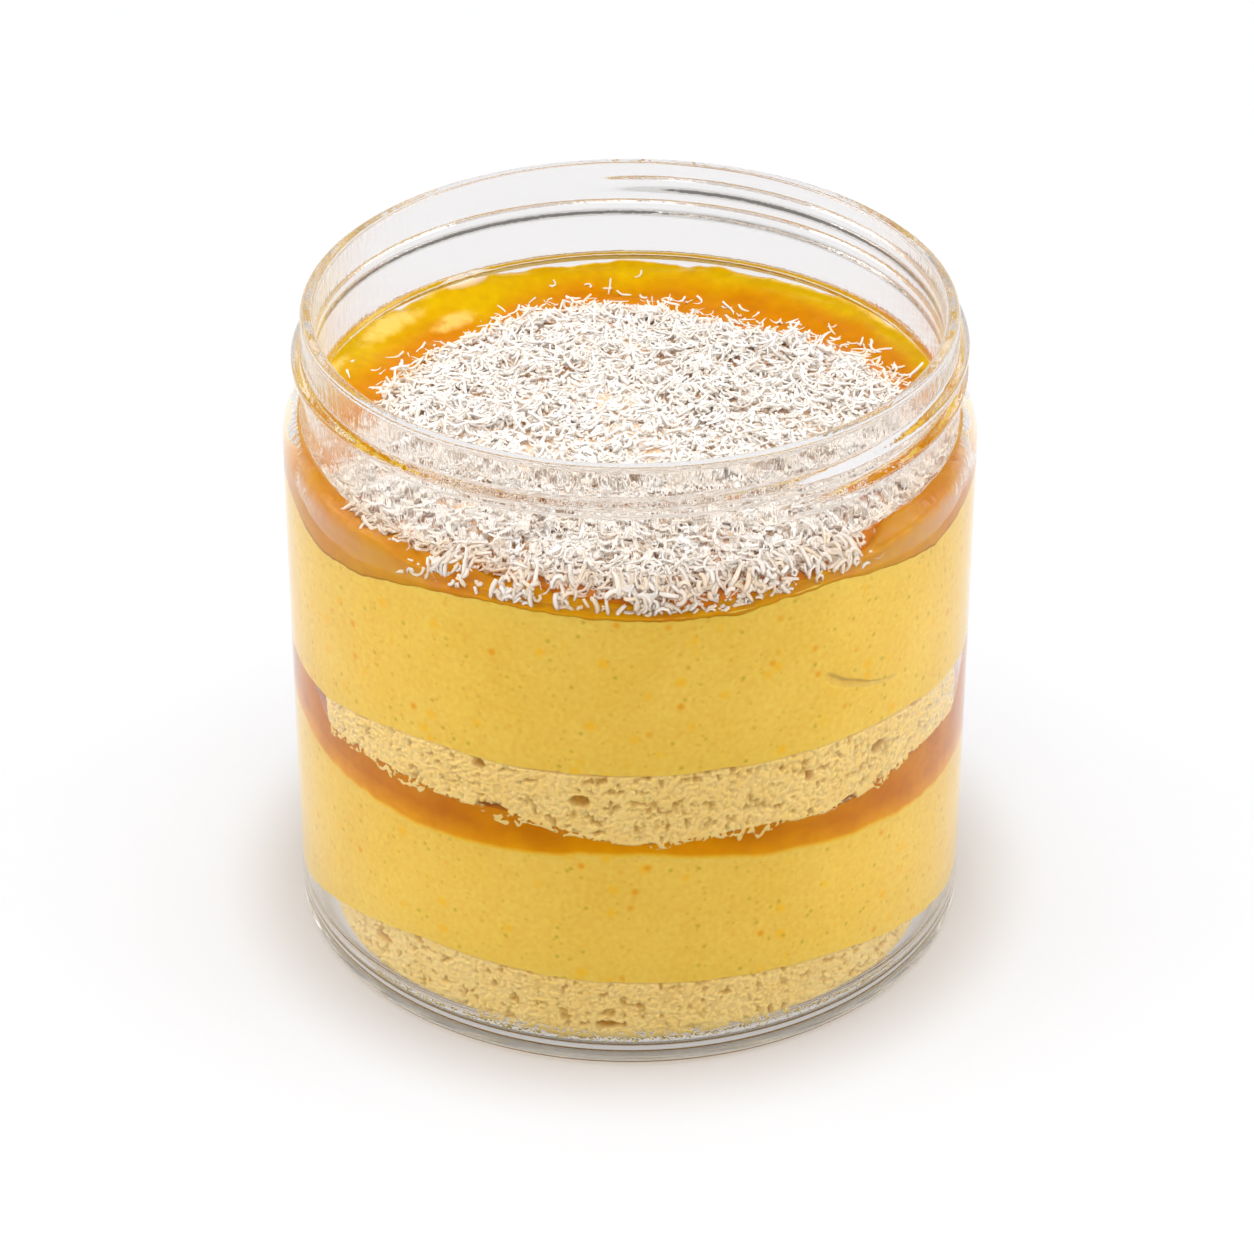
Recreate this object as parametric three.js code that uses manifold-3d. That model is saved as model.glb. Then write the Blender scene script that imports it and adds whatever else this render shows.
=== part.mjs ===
// A layered mango, sponge and cream dessert in a clear screw-top plastic jar, with a heap of
// shredded coconut on top. Millimetres, +Z up. The origin is the centre of the jar's base, and
// the front of the dessert faces -Y. Directions are in degrees, from +X towards +Y.
import * as THREE from "three";
import { mergeVertices } from "three/addons/utils/BufferGeometryUtils.js";
import Module from "manifold-3d";

const wasm = await Module();
wasm.setup();

// The jar: a straight body, a rounded shoulder and a neck that takes an 83 mm screw cap.
const JAR_HEIGHT = 83.8;
const BODY_R = 43;
const BODY_INNER_R = 42;
const NECK_R = 40.24;
const MOUTH_R = 38.5;
const RIM_EDGE = 0.5;
const SHOULDER = { r: BODY_R - 2.3, z: 66.8, wide: 2.3, high: 3.2 };
const INNER_SHOULDER = { r: BODY_INNER_R - 2.1, z: 66.3, wide: 2.1, high: 2.9 };
const SHOULDER_ARC = 80;
const NECK_FOOT_Z = 71.3;

// Its base: a flat ring to stand on, a shallow recess inside it and rounded heels.
const HEEL = 1.2;
const STAND_RING_OUTER_R = BODY_R - HEEL;
const STAND_RING_INNER_R = 37.5;
const BASE_RECESS = 0.8;
const FLOOR_Z = 2;
const INNER_HEEL = 4;

// Its thread: one right-hand ridge that fades out at both ends.
const THREAD_PITCH = 3.4;
const THREAD_CREST_R = 41.5;
const THREAD_ROOT_R = 39.8;
const THREAD_ROOT_WIDTH = 2.4;
const THREAD_CREST_WIDTH = 1.1;
const THREAD_TOP_Z = 80.4;
const THREAD_TOP_AT = 102;
const THREAD_SWEEP = 530;
const THREAD_FADE = 24;

// Every round piece has this many sides, so that neighbours meet side to side.
const SIDES = 60;
const STEP = 360 / SIDES;

// The gap that neighbouring pieces keep between them, and to the jar.
const GAP = 0.3;

// The layers are level inside FLAT_R, and slope from there to the heights they have at the wall.
// A wall height is a level and a few swells: [direction, rise, half width in degrees].
const FLAT_R = 26;
const SPONGE_BASE_BOTTOM = {
  middle: FLOOR_Z + 0.2,
  level: FLOOR_Z + 0.5,
  swells: [[-60, 0.5, 20], [150, 0.5, 30]],
};
const SPONGE_BASE_TOP = {
  middle: 11,
  level: 9.2,
  swells: [
    [-128, 3.6, 30], [-80, 2.7, 34], [-42, 0.7, 24], [-14, -3.4, 26],
    [60, 1.4, 50], [150, 0.9, 24], [180, -4.2, 30],
  ],
};
const BAND_BOTTOM = {
  middle: 29,
  level: 29,
  swells: [[-172, 3, 24], [-132, 0.9, 26], [-90, 2.4, 20], [-12, -3.3, 40], [70, -1.2, 30], [130, 1, 24]],
};
const BAND_TOP = {
  middle: 33,
  level: 33.4,
  swells: [[-138, 2.9, 24], [-110, 1.3, 11], [-88, -0.8, 10], [-52, -1, 10], [-30, 1, 16], [80, 1.2, 20]],
};
const UPPER_CREAM_BOTTOM = {
  middle: 41.5,
  level: 39.5,
  swells: [[-128, 2.4, 20], [-92, 3.1, 34], [-48, 2.5, 30], [50, 1.6, 40], [125, 2.2, 30]],
};
const GLAZE_BOTTOM = {
  middle: 64.2,
  level: 64.6,
  swells: [[-148, -3.1, 17], [-113, 0.7, 11], [-58, 1, 9], [-29, -1.7, 14], [65, -1.3, 26], [140, -1, 18]],
};
const GLAZE_TOP = {
  middle: 66.6,
  level: 67.8,
  swells: [[-90, -1.8, 46], [-165, 0.9, 22], [122, 1.7, 7], [-8, 0.5, 16]],
};
const GLAZE_CLIMB_R = 34;

// Both sponges stop short of the wall at the left and the right. Mango fills the corner beside the
// upper one, and the corner beside the base stays empty.
const SPONGE_RECESS = { level: 0, swells: [[180, 3.4, 26], [-2, 3.4, 22]] };
const SPONGE_BASE_RECESS = { level: 0, swells: [[180, 3, 34], [-4, 3, 30]] };
const LIP_WIDTH = 1.4;
const CRUMB_DEPTH = 0.8;
const CRUMB_ROWS = 5;

// The coconut heap: a low dome with a bumpy top, and the largest shreds fused on.
const HEAP_CENTRE = [1.5, -5];
const HEAP_R = 35.7;
const HEAP_LOBES = [[4, 1.4, 21], [7, 0.5, 100]];
const HEAP_RISE = 3.4;
const HEAP_EDGE = 0.55;
const HEAP_RINGS = 9;
const BUMP = 0.45;
const BUMP_SPACING = 6.5;
const SHREDS = 86;
const SHRED_LENGTH = [3.2, 5];
const SHRED_WIDTH = 0.7;
const SHRED_THICKNESS = 0.5;
const SHRED_STEPS = 3;
const GOLDEN_ANGLE = 137.508;

const radians = THREE.MathUtils.degToRad;

// A repeatable stream of numbers between 0 and 1.
function seeded(seed) {
  let state = seed;
  return () => {
    state = (state + 0x6d2b79f5) | 0;
    let mixed = Math.imul(state ^ (state >>> 15), 1 | state);
    mixed = (mixed + Math.imul(mixed ^ (mixed >>> 7), 61 | mixed)) ^ mixed;
    return ((mixed ^ (mixed >>> 14)) >>> 0) / 4294967296;
  };
}

// The level of a shape in one direction, with its swells added.
function swelled(shape, degrees) {
  let value = shape.level;
  for (const [at, rise, halfWidth] of shape.swells) {
    const away = THREE.MathUtils.euclideanModulo(degrees - at + 180, 360) - 180;
    value += rise * Math.exp(-((away / halfWidth) ** 2));
  }
  return value;
}

// The height of a layer's surface: level in the middle, then a straight slope to the wall.
function layerHeight(shape, r, degrees) {
  const slope = THREE.MathUtils.clamp((r - FLAT_R) / (BODY_INNER_R - FLAT_R), 0, 1);
  return shape.middle + slope * (swelled(shape, degrees) - shape.middle);
}

// The part of an ellipse between two angles, as points of a profile.
function ellipseArc({ r, z, wide, high }, from, to, steps) {
  const points = [];
  for (let i = 0; i <= steps; i += 1) {
    const angle = radians(from + ((to - from) * i) / steps);
    points.push(new THREE.Vector2(r + wide * Math.cos(angle), z + high * Math.sin(angle)));
  }
  return points;
}

function arc(r, z, size, from, to, steps) {
  return ellipseArc({ r, z, wide: size, high: size }, from, to, steps);
}

// The inside of the jar's wall, from the mouth down to the edge of the floor.
const INSIDE = [
  new THREE.Vector2(MOUTH_R, NECK_FOOT_Z),
  new THREE.Vector2(MOUTH_R + 0.4, NECK_FOOT_Z - 1.2),
  ...ellipseArc(INNER_SHOULDER, SHOULDER_ARC, 0, 3),
  ...arc(BODY_INNER_R - INNER_HEEL, FLOOR_Z + INNER_HEEL, INNER_HEEL, 0, -90, 3),
];

// The radius of a filling that stands against the wall at a height. The shoulder and the heel
// slope, so the gap is half as wide again as it is between level faces.
function fillRadius(z) {
  const k = Math.max(1, INSIDE.findIndex((point) => point.y <= z));
  const [low, high] = [INSIDE[k], INSIDE[k - 1]];
  return THREE.MathUtils.mapLinear(z, low.y, high.y, low.x, high.x) - 1.5 * GAP;
}

// Turn the triangles round if they face inwards.
function facingOut(geometry) {
  const corner = geometry.getAttribute("position");
  const order = geometry.getIndex().array;
  const [a, b, c] = [new THREE.Vector3(), new THREE.Vector3(), new THREE.Vector3()];
  let volume = 0;
  for (let i = 0; i < order.length; i += 3) {
    a.fromBufferAttribute(corner, order[i]);
    b.fromBufferAttribute(corner, order[i + 1]);
    c.fromBufferAttribute(corner, order[i + 2]);
    volume += a.dot(b.cross(c));
  }
  if (volume < 0) {
    geometry.setIndex(Array.from(order).reverse());
  }
  return geometry;
}

function bodyFrom(positions, triangles) {
  const geometry = new THREE.BufferGeometry();
  geometry.setAttribute("position", new THREE.Float32BufferAttribute(positions, 3));
  geometry.setIndex(triangles);
  return facingOut(geometry);
}

// Leave only places on a geometry, with shared corners merged.
function welded(geometry) {
  geometry.deleteAttribute("normal");
  geometry.deleteAttribute("uv");
  return facingOut(mergeVertices(geometry, 1e-5));
}

function toSolid(geometry) {
  return new wasm.Manifold(
    new wasm.Mesh({
      numProp: 3,
      vertProperties: Float32Array.from(geometry.getAttribute("position").array),
      triVerts: Uint32Array.from(geometry.getIndex().array),
    }),
  );
}

function toGeometry(solid) {
  const mesh = solid.getMesh();
  return bodyFrom(Array.from(mesh.vertProperties), Array.from(mesh.triVerts));
}

// A closed round body. Its rings run from the underside's middle outwards, up the side and back
// over the top to the middle. Each ring is a function of direction that gives [radius, height].
// The faces over a top are split the same way as those under the next layer's bottom.
function roundBody(lowest, rings, highest, centre = [0, 0]) {
  const positions = [centre[0], centre[1], lowest];
  const reaches = [];
  for (const ring of rings) {
    reaches.push(0);
    for (let i = 0; i < SIDES; i += 1) {
      const [r, z] = ring(i * STEP);
      reaches[reaches.length - 1] += r;
      const angle = radians(i * STEP);
      positions.push(centre[0] + r * Math.cos(angle), centre[1] + r * Math.sin(angle), z);
    }
  }
  positions.push(centre[0], centre[1], highest);
  const last = rings.length * SIDES + 1;
  const triangles = [];
  for (let i = 0; i < SIDES; i += 1) {
    const next = (i + 1) % SIDES;
    triangles.push(0, 1 + next, 1 + i);
    for (let k = 0; k + 1 < rings.length; k += 1) {
      const low = 1 + k * SIDES;
      const high = low + SIDES;
      if (reaches[k + 1] < reaches[k]) {
        triangles.push(low + i, low + next, high + i, low + next, high + next, high + i);
      } else {
        triangles.push(low + i, low + next, high + next, low + i, high + next, high + i);
      }
    }
    triangles.push(last, last - SIDES + i, last - SIDES + next);
  }
  return bodyFrom(positions, triangles);
}

// A closed bar through a list of sections with the same number of corners, with flat ends.
function bar(sections) {
  const corners = sections[0].length;
  const triangles = [];
  for (let k = 0; k + 1 < sections.length; k += 1) {
    for (let side = 0; side < corners; side += 1) {
      const a = corners * k + side;
      const b = corners * k + ((side + 1) % corners);
      triangles.push(a, a + corners, b + corners, a, b + corners, b);
    }
  }
  const end = corners * (sections.length - 1);
  for (let side = 1; side + 1 < corners; side += 1) {
    triangles.push(0, side, side + 1, end, end + side + 1, end + side);
  }
  return bodyFrom(sections.flat(2), triangles);
}

function piece(name, geometry, color, roughness, options = {}) {
  const material = new THREE.MeshStandardMaterial({ color, roughness, metalness: 0, ...options });
  const mesh = new THREE.Mesh(geometry, material);
  mesh.name = name;
  return mesh;
}

// The ridge of the thread: a bar with sloping sides that runs down round the neck.
function threadRidge() {
  const sections = [];
  const steps = Math.round(THREAD_SWEEP / STEP);
  for (let i = 0; i <= steps; i += 1) {
    const turned = (THREAD_SWEEP * i) / steps;
    const z = THREAD_TOP_Z - (THREAD_PITCH * turned) / 360;
    const fade = THREE.MathUtils.clamp(Math.min(turned, THREAD_SWEEP - turned) / THREAD_FADE, 0.05, 1);
    const crestR = NECK_R - 0.2 + (THREAD_CREST_R - NECK_R + 0.2) * fade;
    const root = (THREAD_ROOT_WIDTH / 2) * (0.4 + 0.6 * fade);
    const crest = (THREAD_CREST_WIDTH / 2) * (0.4 + 0.6 * fade);
    const angle = radians(THREAD_TOP_AT - turned);
    const corner = (r, height) => [r * Math.cos(angle), r * Math.sin(angle), height];
    sections.push([
      corner(THREAD_ROOT_R, z - root),
      corner(crestR, z - crest),
      corner(crestR, z + crest),
      corner(THREAD_ROOT_R, z + root),
    ]);
  }
  return bar(sections);
}

// The jar: one turned profile, from under the base up the outside and down the inside.
function jar() {
  const profile = [
    new THREE.Vector2(0, BASE_RECESS),
    new THREE.Vector2(STAND_RING_INNER_R - 1, BASE_RECESS),
    new THREE.Vector2(STAND_RING_INNER_R, 0),
    ...arc(STAND_RING_OUTER_R, HEEL, HEEL, -90, 0, 2),
    ...ellipseArc(SHOULDER, 0, SHOULDER_ARC, 4),
    new THREE.Vector2(NECK_R + 0.3, NECK_FOOT_Z - 0.8),
    new THREE.Vector2(NECK_R, NECK_FOOT_Z),
    ...arc(NECK_R - RIM_EDGE, JAR_HEIGHT - RIM_EDGE, RIM_EDGE, 0, 90, 2),
    ...arc(MOUTH_R + RIM_EDGE, JAR_HEIGHT - RIM_EDGE, RIM_EDGE, 90, 180, 2),
    ...INSIDE,
    new THREE.Vector2(0, FLOOR_Z),
  ];
  const turned = welded(new THREE.LatheGeometry(profile, SIDES).rotateX(Math.PI / 2));
  const threaded = toSolid(turned).add(toSolid(threadRidge()));
  return piece("jar", toGeometry(threaded), 0xeef2f2, 0.06, { transparent: true, opacity: 0.3 });
}

// A filling between two surfaces, which reaches the wall all round.
function filling(name, below, above, color, roughness) {
  const low = (r) => (at) => [r, layerHeight(below, r, at) + GAP / 2];
  const high = (r) => (at) => [r, layerHeight(above, r, at) - GAP / 2];
  const wall = (surface) => (at) => {
    const z = surface(BODY_INNER_R)(at)[1];
    return [fillRadius(z), z];
  };
  const rings = [low(FLAT_R), wall(low), wall(high), high(FLAT_R)];
  return piece(name, roundBody(below.middle + GAP / 2, rings, above.middle - GAP / 2), color, roughness);
}

// A sponge between two surfaces. Crumbs and holes leave its side uneven, and it keeps clear of
// the jar's heel and of the mango that fills the corners where it stops short of the wall.
function sponge(name, below, above, recess, seed, color) {
  const random = seeded(seed);
  const low = (r, at) => layerHeight(below, r, at) + GAP / 2;
  const high = (r, at) => layerHeight(above, r, at) - GAP / 2;
  const rings = [(at) => [FLAT_R, low(FLAT_R, at)]];
  for (let row = 0; row <= CRUMB_ROWS; row += 1) {
    rings.push((at) => {
      const share = row / CRUMB_ROWS;
      const edge = BODY_INNER_R - 1.5 * GAP - swelled(recess, at);
      const height = (r) => low(r, at) + (high(r, at) - low(r, at)) * share;
      const r = Math.min(edge, fillRadius(height(edge))) - CRUMB_DEPTH * random();
      return [r, height(r)];
    });
  }
  rings.push((at) => [FLAT_R, high(FLAT_R, at)]);
  return piece(name, roundBody(below.middle + GAP / 2, rings, above.middle - GAP / 2), color, 0.95);
}

// The mango band between lower cream and upper sponge, with a lip that rises round the sponge
// where the sponge stops short of the wall.
function mangoBand() {
  const top = (r, at) => layerHeight(BAND_TOP, r, at) - GAP / 2;
  const lipR = (at) => BODY_INNER_R - Math.max(swelled(SPONGE_RECESS, at), LIP_WIDTH);
  const lipTop = (r, at) => {
    const room = swelled(SPONGE_RECESS, at) - LIP_WIDTH - GAP;
    const full = THREE.MathUtils.smoothstep(room, 0, 1);
    return top(r, at) + full * (layerHeight(UPPER_CREAM_BOTTOM, r, at) - GAP / 2 - top(r, at));
  };
  const wallR = BODY_INNER_R - 1.5 * GAP;
  const rings = [
    (at) => [FLAT_R, layerHeight(BAND_BOTTOM, FLAT_R, at) + GAP / 2],
    (at) => [wallR, layerHeight(BAND_BOTTOM, BODY_INNER_R, at) + GAP / 2],
    (at) => [wallR, lipTop(wallR, at)],
    (at) => [lipR(at) + 0.5, lipTop(lipR(at) + 0.5, at)],
    (at) => [lipR(at), top(lipR(at), at)],
    (at) => [FLAT_R, top(FLAT_R, at)],
  ];
  const body = roundBody(BAND_BOTTOM.middle + GAP / 2, rings, BAND_TOP.middle - GAP / 2);
  return piece("mango_band", body, 0xdb8808, 0.3);
}

// The height of the glaze's top: level, then climbing or falling to its height at the wall.
function glazeTop(x, y) {
  const at = THREE.MathUtils.radToDeg(Math.atan2(y, x));
  const climb = THREE.MathUtils.smoothstep(Math.hypot(x, y), GLAZE_CLIMB_R, BODY_INNER_R);
  return GLAZE_TOP.middle + climb * (swelled(GLAZE_TOP, at) - GLAZE_TOP.middle);
}

function mangoGlaze() {
  const top = (r) => (at) => [r, glazeTop(r * Math.cos(radians(at)), r * Math.sin(radians(at)))];
  const low = (at) => layerHeight(GLAZE_BOTTOM, BODY_INNER_R, at) + GAP / 2;
  const rings = [
    (at) => [FLAT_R, layerHeight(GLAZE_BOTTOM, FLAT_R, at) + GAP / 2],
    (at) => [fillRadius(low(at)), low(at)],
    (at) => [fillRadius(swelled(GLAZE_TOP, at)), swelled(GLAZE_TOP, at)],
    top(37.5),
    top(33),
    top(FLAT_R),
    top(13),
  ];
  const body = roundBody(GLAZE_BOTTOM.middle + GAP / 2, rings, glazeTop(0, 0));
  return piece("mango_glaze", body, 0xf0a80a, 0.2);
}

// The distance from the heap's centre to its uneven outline, which stops at the jar's wall.
function heapReach(degrees) {
  let reach = HEAP_R;
  for (const [lobes, depth, at] of HEAP_LOBES) {
    reach += depth * Math.cos(radians(lobes * (degrees - at)));
  }
  const [cx, cy] = HEAP_CENTRE;
  const across = cx * Math.cos(radians(degrees)) + cy * Math.sin(radians(degrees));
  const offCentre = cx ** 2 + cy ** 2;
  const wall = fillRadius(GLAZE_TOP.level) - 0.3;
  return Math.min(reach, Math.sqrt(across ** 2 - offCentre + wall ** 2) - across);
}

// The dome's height over the glaze at a place, which is its edge height at and past its outline.
function heapRise(x, y) {
  const [dx, dy] = [x - HEAP_CENTRE[0], y - HEAP_CENTRE[1]];
  const out = Math.hypot(dx, dy) / heapReach(THREE.MathUtils.radToDeg(Math.atan2(dy, dx)));
  return HEAP_EDGE + HEAP_RISE * Math.max(0, 1 - out ** 2) ** 0.8;
}

// The glaze as the heap's core meets it. It is flat from corner to corner of each side, so the
// core stands a little higher than the glaze's own gap.
function heapFloor(x, y) {
  return glazeTop(x, y) + 1.7 * GAP;
}

// Rounded bumps in crossing rows, a little uneven, which fade out at the heap's edge.
function heapBump(x, y, share) {
  const wave = (2 * Math.PI) / BUMP_SPACING;
  const rows = Math.sin(wave * (x + 0.9 * Math.sin(0.31 * y)));
  const columns = Math.sin(wave * (0.93 * y + 1.1 * Math.sin(0.27 * x)));
  return BUMP * rows * columns * Math.min(1, 4 * (1 - share));
}

function heapCore() {
  const at = (share, degrees) => {
    const r = share * heapReach(degrees);
    const x = HEAP_CENTRE[0] + r * Math.cos(radians(degrees));
    const y = HEAP_CENTRE[1] + r * Math.sin(radians(degrees));
    return [r, x, y];
  };
  const under = (share) => (degrees) => {
    const [r, x, y] = at(share, degrees);
    return [r, heapFloor(x, y)];
  };
  const over = (share) => (degrees) => {
    const [r, x, y] = at(share, degrees);
    return [r, heapFloor(x, y) + heapRise(x, y) + heapBump(x, y, share)];
  };
  const rings = [0.5, 0.8, 1].map(under);
  for (let k = HEAP_RINGS; k > 0; k -= 1) {
    rings.push(over(k / HEAP_RINGS));
  }
  const [x, y] = HEAP_CENTRE;
  return roundBody(heapFloor(x, y), rings, heapFloor(x, y) + heapRise(x, y), HEAP_CENTRE);
}

// One shred: a thin curved strip, flat below and ridged above. Its root lies in the heap, and
// its tip stands proud.
function shred(x, y, heading, length, bend, lift) {
  const sections = [];
  let [px, py, direction] = [x, y, heading];
  for (let k = 0; k <= SHRED_STEPS; k += 1) {
    const share = k / SHRED_STEPS;
    const surface = heapFloor(px, py) + heapRise(px, py);
    const z = surface - SHRED_THICKNESS * 0.7 + lift * share ** 1.5;
    const width = SHRED_WIDTH * (1 - 0.35 * share);
    const sideX = -Math.sin(radians(direction)) * width * 0.5;
    const sideY = Math.cos(radians(direction)) * width * 0.5;
    const thickness = SHRED_THICKNESS * (1 - 0.3 * share);
    sections.push([
      [px - sideX, py - sideY, z],
      [px + sideX, py + sideY, z],
      [px, py, z + thickness],
    ]);
    px += (length / SHRED_STEPS) * Math.cos(radians(direction));
    py += (length / SHRED_STEPS) * Math.sin(radians(direction));
    direction += bend / SHRED_STEPS;
  }
  return sections;
}

// A shred is left out where it would come near the jar's wall or the glaze.
function isClear(sections) {
  return sections.flat().every(([x, y, z]) => {
    return Math.hypot(x, y) < fillRadius(z) - 0.1 && z > glazeTop(x, y) + GAP;
  });
}

// The heap: shreds spread evenly over the dome by the golden angle, with every tip turned at
// random, and one body made of dome and shreds. A scrap that joins nothing is dropped.
function coconutHeap() {
  const random = seeded(2027);
  let heap = toSolid(heapCore());
  for (let k = 0; k < SHREDS; k += 1) {
    const degrees = k * GOLDEN_ANGLE;
    const share = Math.sqrt((k + 0.5) / SHREDS);
    const r = 0.97 * share * heapReach(degrees);
    const x = HEAP_CENTRE[0] + r * Math.cos(radians(degrees));
    const y = HEAP_CENTRE[1] + r * Math.sin(radians(degrees));
    const heading = share > 0.85 ? degrees + 100 * (random() - 0.5) : 360 * random();
    const length = SHRED_LENGTH[0] + (SHRED_LENGTH[1] - SHRED_LENGTH[0]) * random();
    const sections = shred(x, y, heading, length, 90 * (random() - 0.5), 0.7 + 0.9 * random());
    if (isClear(sections)) {
      heap = heap.add(toSolid(bar(sections)));
    }
  }
  const whole = heap.decompose().reduce((a, b) => (a.volume() > b.volume() ? a : b));
  return piece("coconut_heap", toGeometry(whole), 0xf3efe9, 0.85);
}

const dessert = new THREE.Group();
dessert.add(
  jar(),
  sponge("sponge_base", SPONGE_BASE_BOTTOM, SPONGE_BASE_TOP, SPONGE_BASE_RECESS, 11, 0xe3cb85),
  filling("cream_lower", SPONGE_BASE_TOP, BAND_BOTTOM, 0xe9c166, 0.5),
  mangoBand(),
  sponge("sponge_upper", BAND_TOP, UPPER_CREAM_BOTTOM, SPONGE_RECESS, 12, 0xe3cb85),
  filling("cream_upper", UPPER_CREAM_BOTTOM, GLAZE_BOTTOM, 0xe9c166, 0.5),
  mangoGlaze(),
  coconutHeap(),
);

export default dessert;
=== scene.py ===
# %% [markdown]
# # A layered mango dessert in a clear jar
# This lesson dresses a ready-made frame: a screw-top jar of clear plastic that holds sponge,
# mango cream, a band of mango puree, more sponge and cream, a mango glaze and a heap of shredded
# coconut. Every surface is worked out with numpy in millimetres and handed to Blender in metres.

# %% Load the frame
import itertools

import bpy
import numpy as np
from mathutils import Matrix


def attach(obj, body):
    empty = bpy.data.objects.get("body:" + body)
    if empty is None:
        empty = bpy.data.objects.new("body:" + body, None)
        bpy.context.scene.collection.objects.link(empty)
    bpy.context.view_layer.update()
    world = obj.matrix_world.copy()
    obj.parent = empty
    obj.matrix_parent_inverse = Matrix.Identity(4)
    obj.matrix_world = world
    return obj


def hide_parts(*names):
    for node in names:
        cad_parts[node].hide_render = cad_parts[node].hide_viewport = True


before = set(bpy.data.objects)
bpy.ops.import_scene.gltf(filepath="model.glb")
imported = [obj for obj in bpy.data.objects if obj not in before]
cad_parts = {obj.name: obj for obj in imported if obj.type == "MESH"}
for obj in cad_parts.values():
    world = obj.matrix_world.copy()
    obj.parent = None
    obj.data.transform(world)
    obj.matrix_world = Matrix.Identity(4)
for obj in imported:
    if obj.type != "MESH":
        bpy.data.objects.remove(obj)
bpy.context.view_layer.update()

# %% [markdown]
# ## Colours and nodes
# Colours are written as sRGB hex values, as a paint program shows them. Shaders reckon in linear
# light, so one function turns each value over. A second one adds a shader node together with its
# settings, the numbers on its sockets and the wires into it, which keeps a material readable.

# %% Colour and node helpers
MM = 0.001


def linear(colour):
    """An sRGB hex colour as linear RGBA: each part over 12.92 when dark, else a 2.4 power curve."""
    parts = np.array([int(colour[k : k + 2], 16) for k in (1, 3, 5)]) / 255
    curved = np.where(parts <= 0.04045, parts / 12.92, ((parts + 0.055) / 1.055) ** 2.4)
    return (*curved.tolist(), 1.0)


def per_mm(size):
    """The scale of a pattern on metre coordinates whose lumps measure size millimetres."""
    return 1 / (size * MM)


def add_node(tree, kind, settings=None, inputs=None):
    """Adds a node and sets its properties. An input that is given an output socket is wired to
    it, and any other is set to the number or colour given."""
    made = tree.nodes.new("ShaderNode" + kind)
    for name, value in (settings or {}).items():
        setattr(made, name, value)
    for socket, value in (inputs or {}).items():
        if isinstance(value, bpy.types.NodeSocket):
            tree.links.new(value, made.inputs[socket])
        else:
            made.inputs[socket].default_value = value
    return made


def new_material(name):
    """An empty node material, its tree, and the Object coordinates that its patterns read."""
    material = bpy.data.materials.new(name)
    material.use_nodes = True
    tree = material.node_tree
    tree.nodes.clear()
    return material, tree, add_node(tree, "TexCoord").outputs["Object"]


SMOOTH = {"interpolation_type": "SMOOTHSTEP"}
COLOUR_MIX = {"data_type": "RGBA"}
OVERLAY_MIX = {"data_type": "RGBA", "blend_type": "OVERLAY"}
FACTOR, COLOUR_A, COLOUR_B, MIXED = 0, 6, 7, 2
print("White is", linear("#FFFFFF"), "and a 0.5 mm grain has scale", per_mm(0.5))

# %% [markdown]
# ## From arrays to meshes
# Blender takes whole arrays of corners and faces with foreach_set, which is far quicker than
# adding vertices one at a time. Most of this dessert is round, so most pieces are a stack of
# rings: rows of points round the middle, closed by a fan of triangles at each end.

# %% Mesh helpers
def add_mesh(name, points, quads, triangles):
    """Puts points (mm) and the corner numbers of quads and triangles into a new smooth object."""
    corners = np.concatenate([quads.ravel(), triangles.ravel()]).astype(np.int32)
    quad_starts = 4 * np.arange(len(quads))
    triangle_starts = 4 * len(quads) + 3 * np.arange(len(triangles))
    starts = np.concatenate([quad_starts, triangle_starts]).astype(np.int32)
    mesh = bpy.data.meshes.new(name)
    mesh.vertices.add(len(points))
    mesh.vertices.foreach_set("co", (points * MM).astype(np.float32).ravel())
    mesh.loops.add(len(corners))
    mesh.loops.foreach_set("vertex_index", corners)
    mesh.polygons.add(len(starts))
    mesh.polygons.foreach_set("loop_start", starts)
    mesh.polygons.foreach_set("use_smooth", np.ones(len(starts), dtype=bool))
    mesh.update(calc_edges=True)
    mesh.validate()
    made = bpy.data.objects.new(name, mesh)
    bpy.context.scene.collection.objects.link(made)
    print(name, "has", len(quads) * 2 + len(triangles), "triangles")
    return made


def round_body(name, rings):
    """A closed skin over rings (rings x around x 3, mm) that run from the middle of the underside
    outwards, up and back to the middle of the top. Each end is a fan to its ring's mean point."""
    count, around = rings.shape[:2]
    poles = np.array([rings[0].mean(axis=0), rings[-1].mean(axis=0)])
    points = np.concatenate([rings.reshape(-1, 3), poles])
    here = np.arange(around)
    after = (here + 1) % around
    low = around * np.arange(count - 1)[:, None]
    quads = np.stack([low + here, low + after, low + around + after, low + around + here], axis=-1)
    last = around * (count - 1)
    under = np.stack([np.full(around, count * around), after, here], axis=-1)
    over = np.stack([np.full(around, count * around + 1), last + here, last + after], axis=-1)
    return add_mesh(name, points, quads.reshape(-1, 4), np.concatenate([under, over]))


def mark(piece, name, values):
    """Stores a number per vertex on the piece, for its material to read."""
    attribute = piece.data.attributes.new(name, "FLOAT", "POINT")
    padded = np.full(len(piece.data.vertices), np.mean(values), dtype=np.float32)
    padded[: np.size(values)] = np.ravel(values)
    attribute.data.foreach_set("value", padded)


def dress(piece, material, slot, *nodes):
    """Gives the piece its material and lets it stand for CAD nodes. The slot is not used."""
    piece.data.materials.append(material)
    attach(piece, "root")
    if nodes:
        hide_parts(*nodes)
    print(piece.name, "is made of", material.name)


def directions(count):
    """Evenly spaced directions in degrees, counted from +X towards +Y."""
    return np.arange(count) * (360 / count)


def bearing(x, y):
    """The direction of a place in degrees."""
    return np.degrees(np.arctan2(y, x))


def turn_from(degrees, at):
    """How far round the jar a direction is from another, from -180 to 180 degrees."""
    return (degrees - at + 180) % 360 - 180


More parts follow.
